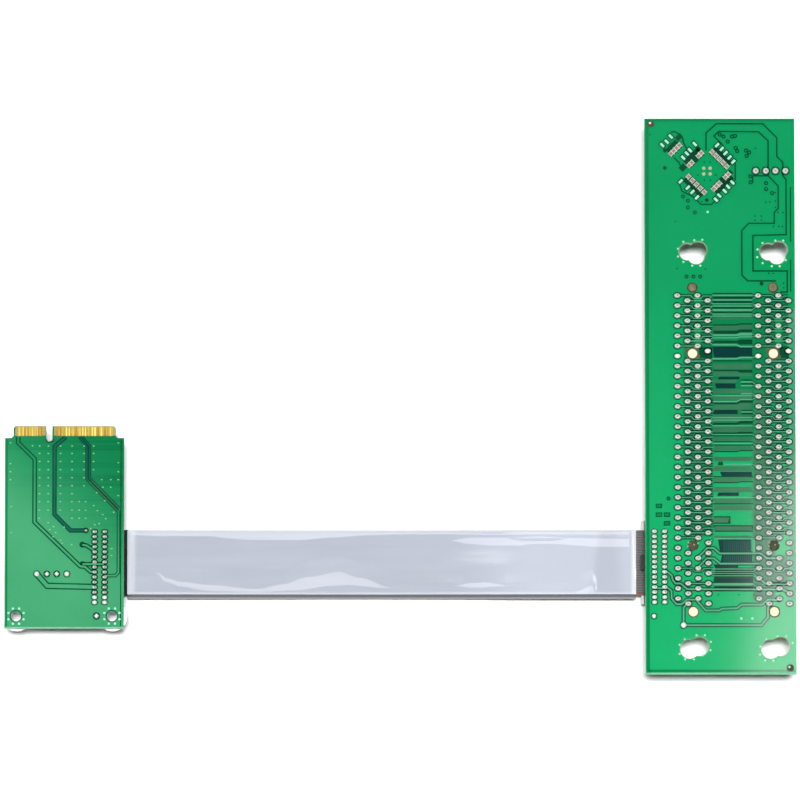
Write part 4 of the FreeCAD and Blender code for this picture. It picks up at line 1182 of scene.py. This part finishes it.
# Riser: tracks with a gap on both sides
TRACK_WIDTH = 0.42
TRACK_GAP = 0.3
TRACKS = (
    spots(
        (664, 571), (668, 573), (671.8, 576.4), (672.4, 580.3), (675.3, 584.1), (680.6, 584.1),
        (687.1, 589.8), (700, 589.8), (782, 590.2), (787, 592.4), (789.6, 594.6),
    ),
    spots((759, 579.6), (766, 584.8), (788, 584.8)),
    spots(
        (654, 588.7), (668, 588.7), (671.4, 591.4), (671.4, 599), (676.4, 604.8), (681.4, 604.8),
        (686.8, 600.2), (697, 600.2),
    ),
    spots(
        (687, 604.4), (683.3, 608.1), (683.3, 625.7), (761, 625.7), (767.6, 617.6), (767.6, 608), (770, 605),
    ),
    spots(
        (696.5, 601), (705.3, 611), (719, 611), (721.4, 609.3), (736.8, 608.8), (741.2, 605.2),
        (762, 605.2), (767.4, 600.4), (780, 600.4),
    ),
    spots((698, 558), (707, 548.8), (713.8, 548.8), (719.6, 554.1), (760, 554.1), (767, 559), (778, 559)),
    spots((698, 568), (706.6, 559), (713.8, 559), (720, 564.3), (759, 564.3)),
)
riser.track(TRACK_WIDTH, TRACK_GAP, *TRACKS)

# Riser: islands in the pour
ISLANDS = spots((659, 506.6), (659, 515.4), (667.1, 515.4), (667.1, 524.1))
for island in ISLANDS:
    riser.box("clearance", island, 1.65, 1.15)
    riser.box("margin", island, 1.15, 0.65)

# Riser: tracks that weave between the pad columns of a slot
WEAVE_DROP = 0.74
LAST_TRACKS = (54, 57)
STRAIGHT_TRACK = (0.26, 0.34)
WOVEN_TRACK = (0.22, 0.3)
PAD_GAP = 0.92
PAD_STRETCH = 1.18


def dress_slot(axis, reach):
    """Gaps round the pads, and tracks that end at a reach from the slot's axis."""
    for row, column, has_contact in slot_sites():
        centre = (axis + column * COLUMN_PITCH, row_level(row))
        riser.discs("clearance", PAD_GAP, [centre], PAD_STRETCH)
        if column == 0.5 and noise.noise((axis, row * 0.37, 4.0)) > -0.2 and row + 2 < KEY_ROWS[0]:
            riser.box("margin", (centre[0] + 0.1, centre[1] - CONTACT_PITCH), 1.9, 1.5)
    for row in range(CONTACT_ROWS):
        if row in OPEN_ROWS or row > SPARE_KEY_ROWS[1] and row not in LAST_TRACKS:
            continue
        level = row_level(row)
        if row % 2:
            riser.track(*STRAIGHT_TRACK, [(axis - 1.2, level), (axis + reach, level)])
        elif row + 1 in OPEN_ROWS:
            riser.track(*WOVEN_TRACK, [(axis - 3.8, level), (axis + 1.0, level)])
        else:
            across = ((-3.8, 0), (-0.35, 0), (0.35, WEAVE_DROP), (2.0, WEAVE_DROP), (2.7, 0.1), (reach, 0.1))
            riser.track(*WOVEN_TRACK, [(axis + x, level - drop) for x, drop in across])


# Riser: peg holes along each slot. The open holes get a dark lining, and the upper ones a paler floor set
# off up and to the left: painted shade and light. Brown rings, corners and bits are partly the holes' bare
# walls and edges, partly painted shade in the gaps round the pegs and down the holes.
PEG_HOLES = {"open": (40.74, -24.13), "pegged": (24.13, -40.74)}
PEG_HOLE_RADIUS = 1.34


def make_peg_holes():
    shade_rims = Build()
    shaded_floors = Build()
    walls_and_shade = Build()
    stubs = Build()
    upper, lower = (SLOT_CENTRE + shift for shift in PEG_HOLES["open"])
    keyed, plain_peg = (SLOT_CENTRE + shift for shift in PEG_HOLES["pegged"])
    rim = lifted(((PEG_HOLE_RADIUS, -0.9), (PEG_HOLE_RADIUS, -0.2), (1.2, -0.3)), RISER_TOP)
    dish = lifted(((1.08, -0.4), (1.08, -0.24), (0.9, -0.12), (0.5, -0.06)), RISER_TOP)
    for axis in SLOT_AXES:
        for level in (upper, lower):
            shade_rims.lathe((axis, level), rim, 28)
        shaded_floors.lathe((axis - 0.06, upper + 0.14), dish, 28)
        for level in (keyed, plain_peg):
            walls_and_shade.ring((axis, level), 1.2, 1.48, RISER_TOP - 0.6, RISER_TOP + 0.045, 28)
        for turn in (60, 150, 240, 330):
            corner = turned((axis, keyed), 1.62, 0, math.radians(turn))
            walls_and_shade.box(corner, 0.85, 1.1, RISER_TOP - 0.1, RISER_TOP + 0.05, math.radians(turn))
        for turn, distance in ((20, 0.75), (140, 0.8), (200, 0.5), (265, 0.85), (320, 0.4)):
            foot = turned((axis, lower), distance, 0, math.radians(turn))
            walls_and_shade.box(foot, 0.5, 0.4, RISER_TOP - 0.5, RISER_TOP - 0.05, math.radians(turn))
        for x, y in ((-1.15, 0.75), (-1.3, -0.2), (1.2, 0.55), (0.25, 0.2)):
            stubs.prism(circle((axis + x, lower + y), 0.2, 12), RISER_TOP - 0.5, RISER_TOP + 0.06)
    shade_rims.make("peg_hole_shade_rims", SHADE_RIM, "black_plastic")
    shaded_floors.make("peg_hole_shaded_floors", SHADED_HOLE_FLOOR, "black_plastic", True)
    walls_and_shade.make("peg_hole_walls_and_shade", HOLE_WALL_AND_SHADE, "black_plastic")
    stubs.make("peg_hole_stubs", TAN, "solder")


# Headers' joints
HEADER_ROWS = 15
HEADER_PINNED = 13
HEADER_PROFILE = ((1.0, 0.0), (1.0, 0.06), (0.93, 0.22), (0.75, 0.4), (0.5, 0.52), (0.2, 0.58))
HEADER_FIRST = ROUTE[0][1] + 6 * CONTACT_PITCH
BARE_HEADER_PAD = (0.68, 0.52)
# Loose pads beside the headers: middle, reach and count of sides
RISER_LOOSE_PADS = [(spot(653.8, 616.7), 0.62, 8), (spot(683.3, 625.7), 0.75, 18)]
MINI_LOOSE_PADS = [
    (spot(37.2, 574.3), 0.66, 18), (spot(47.4, 574.3), 0.66, 4), (spot(57.2, 574.3), 0.66, 4),
    (spot(67.3, 574.3), 0.66, 18), (spot(97.1, 616.3), 0.7, 4),
]


def header_sites(node):
    centre = node_centre(node)[0]
    for row in range(HEADER_ROWS):
        for column in (-0.5, 0.5):
            yield (centre + column * COLUMN_PITCH, HEADER_FIRST - row * CONTACT_PITCH), row < HEADER_PINNED


def make_header_joints(dressing, node, name, solder, pad, tail, extra):
    """Joints of a ribbon header, and of loose pads given by their middle, reach and count of sides."""
    joints = Build()
    tails = Build()
    for centre, pinned in header_sites(node):
        dressing.discs("clearance", 0.72, [centre], 1.3)
        joints.lathe(centre, lifted(HEADER_PROFILE, dressing.top), 18, pad if pinned else BARE_HEADER_PAD)
        if pinned:
            tails.box((centre[0] + 0.1, centre[1] + 0.04), *tail, dressing.top + 0.3, dressing.top + 0.66)
    for centre, reach, sides in extra:
        dressing.discs("clearance", reach + 0.24, [centre])
        joints.lathe(centre, lifted(HEADER_PROFILE, dressing.top), sides, (reach, reach))
    joints.make(f"{name}_joints", SOLDER, "solder", True, [solder])
    tails.make(f"{name}_tails", SHADED_TAIL_METAL, "pin_metal")


POWER_PADS = spots((757, 170.6), (767.1, 170.6), (776.7, 170.6), (786.7, 170.6))


def make_power_joints():
    joints = Build()
    tails = Build()
    for centre in POWER_PADS:
        riser.discs("clearance", 1.15, [centre])
        joints.lathe(centre, lifted(JOINT_PROFILE, RISER_TOP), 20)
        tails.box(centre, 0.5, 0.5, RISER_TOP + 0.5, RISER_TOP + 0.88)
    joints.make("power_joints", SOLDER, "solder", True, ["power_header_solder"])
    tails.make("power_tails", SHADED_TAIL_METAL, "pin_metal")


# Mini card: tracks, given by their kind, width, the gap on both sides and their lines
MINI_TRACKS = (
    (
        "pour_track", 0.5, 0.34,
        spots(
            (18.2, 437), (18.2, 443), (34.8, 459.3), (34.8, 522.4), (80.6, 566.6), (85.6, 567.3),
            (91.2, 572.2), (94, 572.2),
        ),
        spots((82.6, 545), (87, 546), (94, 550.5)),
        spots((83, 564.5), (104, 564.5)),
    ),
    ("pour_track", 0.42, 0.24, spots((118.8, 511), (118.8, 572.8), (115.8, 576), (105, 576))),
    ("pour_track", 0.95, 0.34, spots((37.2, 574.3), (47.7, 586.2), (94, 587.3))),
    ("shade", 0.42, 0.36, spots((66, 437), (54.7, 446.6), (54.7, 514.7), (70.8, 530.8), (86.3, 530.8))),
    (
        "shade", 0.26, 0.26,
        spots((79.2, 437), (87, 446.6), (87, 479.5), (89.4, 482)),
        spots((81.8, 437), (89.8, 446.2), (89.8, 478.5), (92.2, 481)),
    ),
    ("field", 0.26, 0.26, spots((89.4, 482), (118.6, 512)), spots((92.2, 481), (119.6, 508.8))),
)
for kind, width, gap, *lines in MINI_TRACKS:
    mini.track(width, gap, *lines, kind=kind)
TRACK_ENDS = spots((82.6, 545), (86.3, 530.8), (83, 564.5))
mini.discs("clearance", 0.75, TRACK_ENDS)
mini.discs("tan", 0.3, TRACK_ENDS[1:2])

# Mini card: strips along the pour's edge and the bevel: kind, width and both ends
MINI_LEFT, MINI_FRONT = MINI_LOW[:2]
MINI_RIGHT, MINI_BACK = MINI_HIGH[:2]
MINI_EDGES = (
    ("clearance", 0.25, (MINI_RIGHT - 0.8, MINI_FRONT + 0.6), (MINI_RIGHT - 0.8, MINI_BACK - 3.4)),
    ("margin", 0.4, (MINI_LEFT + 0.5, MINI_FRONT + 0.5), (MINI_LEFT + 0.5, MINI_BACK - 3.4)),
    # A pale strip along the lower edge: the laminate's edge with a painted highlight
    ("cut_edge", 0.4, (MINI_LEFT + 0.02, MINI_FRONT + 0.22), (MINI_RIGHT - 0.02, MINI_FRONT + 0.22)),
    ("bevel", 0.22, spot(17.6, 426.9), spot(43.4, 426.9)),
    ("bevel", 0.22, spot(55.6, 426.9), spot(112.6, 426.9)),
)
mini.edges(MINI_EDGES)

# Mini card: plate on both sides of the notch, given by its upper and lower line, and the notch's foot
PLATES = (
    (spots((15.4, 426.6), (45.8, 426.6)), spots((14.9, 435.8), (45.8, 435.8))),
    (spots((53.9, 426.6), (115.0, 426.6)), spots((53.9, 435.8), (115.4, 435.8))),
)
for lines in PLATES:
    mini.band("plate", *lines)
NOTCH_FOOT = spot(49.9, 438.9)
NOTCH_TURNS = [math.radians(turn) for turn in range(180, 361, 15)]
NOTCH_EDGES = [[turned(NOTCH_FOOT, radius, 0, turn) for turn in NOTCH_TURNS] for radius in (0.8, 1.12)]
mini.band("clearance", *NOTCH_EDGES)

# Mini card: tented vias, drawn as flat pale marks stretched across, which are painted highlights where light
# catches their bumps; and dots round the screw holes
MINI_VIA_ROWS = (446.2, 453.7, 461.8, 470, 478, 486, 494, 502, 510.5, 518.6)
MINI_VIA_COLUMNS = {39.7: 10, 48.4: 9, 60.6: 9, 72.2: 10, 84.2: 6, 93.7: 4}
MINI_VIAS = [(px, py) for px, count in MINI_VIA_COLUMNS.items() for py in MINI_VIA_ROWS[:count]]
MINI_VIAS += [
    (10.5, 443), (10.5, 464), (10.5, 472), (10.5, 480), (11.5, 507), (11.5, 533), (118.5, 443),
    (118.5, 463), (118.5, 472), (118.5, 480), (118.5, 496), (32.6, 446), (79.5, 502), (86, 502),
    (79.5, 510.5), (86, 510.5), (79.5, 518.6), (86, 518.6), (94, 506), (97.7, 511), (103, 515),
    (106, 519), (114, 512.5), (102, 480), (111, 480), (103, 487.5), (111, 487.5), (97, 493), (105, 501),
    (48.5, 523), (54, 527), (50, 530), (56, 533), (53.5, 537), (61, 540.5), (64.5, 527.5), (72, 545),
    (112, 549), (112, 556), (62.5, 543.5), (91, 529), (95, 525), (99.5, 524),
]
mini.discs("via_glints", 0.15, spots(*MINI_VIAS), 1.5)
MINI_SCREWS = spots((16.7, 616.5), (112.5, 616.4))
SCREW_TURNS = [math.radians(22.5 + 45 * step) for step in range(8)]
for screw in MINI_SCREWS:
    mini.discs("dots", 0.3, [turned(screw, 2.05, 0, turn) for turn in SCREW_TURNS])
    mini.rings("tented", 1.31, 1.55, [screw])

make_sleeve()
make_spacers()
make_chip_leads()
make_targets()
dress_chip_back()
dress_bus()
for axis, reach in zip(SLOT_AXES, (5.0, 3.8)):
    dress_slot(axis, reach)
    dress_hole(axis, *UPPER_HOLES)
    dress_hole(axis, *LOWER_HOLES)
make_peg_holes()
make_power_joints()
make_header_joints(
    riser, "riser_header_base", "riser_header", "riser_header_solder",
    (0.7, 0.5), (0.24, 0.4), RISER_LOOSE_PADS,
)
make_header_joints(
    mini, "mini_header_base", "mini_header", "mini_card_solder",
    (0.58, 0.4), (0.28, 0.56), MINI_LOOSE_PADS,
)
riser.make()
mini.make()


# Light, floor and view

FLOOR_REACH = 2.0
WORLD_GLOW = 0.15


def make_floor():
    mesh = bpy.data.meshes.new("floor")
    corners = [(x * FLOOR_REACH, y * FLOOR_REACH, 0) for x, y in ((-1, -1), (1, -1), (1, 1), (-1, 1))]
    mesh.from_pydata(corners, [], [[0, 1, 2, 3]])
    white = plain("floor", (0.78, 0.78, 0.78), (0.8, 0.8, 0.8), 0.8, 0.2, 0.0, Specular_IOR_Level=0.0)
    mesh.materials.append(white)
    link("floor", mesh)


def make_sun(name, strength, across, along_y, spread):
    """A distant light that tips from the vertical by two angles in degrees."""
    data = bpy.data.lights.new(name, "SUN")
    data.energy = strength
    data.angle = math.radians(spread)
    sun = link(name, data)
    towards = Vector((math.tan(math.radians(across)), math.tan(math.radians(along_y)), 1))
    sun.rotation_euler = towards.to_track_quat("Z", "Y").to_euler()
    sun.visible_glossy = False


def make_panel(name, centre, width, length, glow):
    """A panel that faces the middle of the object and shows in reflections; glow is its brightness."""
    data = bpy.data.lights.new(name, "AREA")
    data.shape = "RECTANGLE"
    data.size = width
    data.size_y = length
    data.energy = glow * math.pi * width * length
    panel = link(name, data)
    panel.location = centre
    panel.rotation_euler = Vector(centre).to_track_quat("Z", "Y").to_euler()
    panel.visible_camera = False
    panel.visible_diffuse = False


# Panels: the middle in metres, width, length and glow
PANELS = {
    "left_panel": ((-1.0, 0.2, 0.7), 0.8, 1.0, 1.2),
    "right_panel": ((1.0, 0.2, 0.7), 0.8, 1.0, 1.0),
    "back_panel": ((0.0, 1.0, 0.8), 1.4, 0.8, 1.2),
    "front_panel": ((0.0, -1.0, 0.7), 1.4, 0.8, 3.0),
    "film_glare": ((-0.075, -0.21, 1.4), 0.44, 0.2, 5.0),
    "film_edge_glare": ((-0.075, 0.46, 1.4), 0.44, 0.25, 5.2),
    "film_end_glare": ((-0.54, 0.0, 1.4), 0.2, 0.3, 7.0),
    "riser_glare": ((0.2265, -0.03, 1.4), 0.14, 0.1, 13.0),
}


def light_scene():
    world = bpy.data.worlds.new("world")
    bpy.context.scene.world = world
    world.use_nodes = True
    sky = world.node_tree.nodes["Background"]
    sky.inputs["Color"].default_value = (1, 1, 1, 1)
    sky.inputs["Strength"].default_value = WORLD_GLOW
    make_sun("left_key", 2.9, -4.0, 6.0, 11.0)
    make_sun("right_key", 2.9, 4.0, 6.0, 11.0)
    for name, panel in PANELS.items():
        make_panel(name, *panel)
    view = bpy.context.scene.view_settings
    view.view_transform = "Standard"
    view.look = "None"


make_floor()
light_scene()

# Nodes that are shown as they are
NODE_PAINTS = (
    (RISER_MASK, ["riser_board"]),
    (MINI_MASK, ["mini_card_board"]),
    (HIGHLIGHTED_GOLD, ["mini_card_edge_contacts"]),
    (CONTACT_METAL, ["slot_1_contacts", "slot_2_contacts", "mini_plug_contacts", "riser_plug_contacts"]),
    (PIN_METAL, ["riser_header_pins", "mini_header_pins", "power_header_pins"]),
)
for paint, nodes in NODE_PAINTS:
    for node in nodes:
        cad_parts[node].data.materials.clear()
        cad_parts[node].data.materials.append(paint)
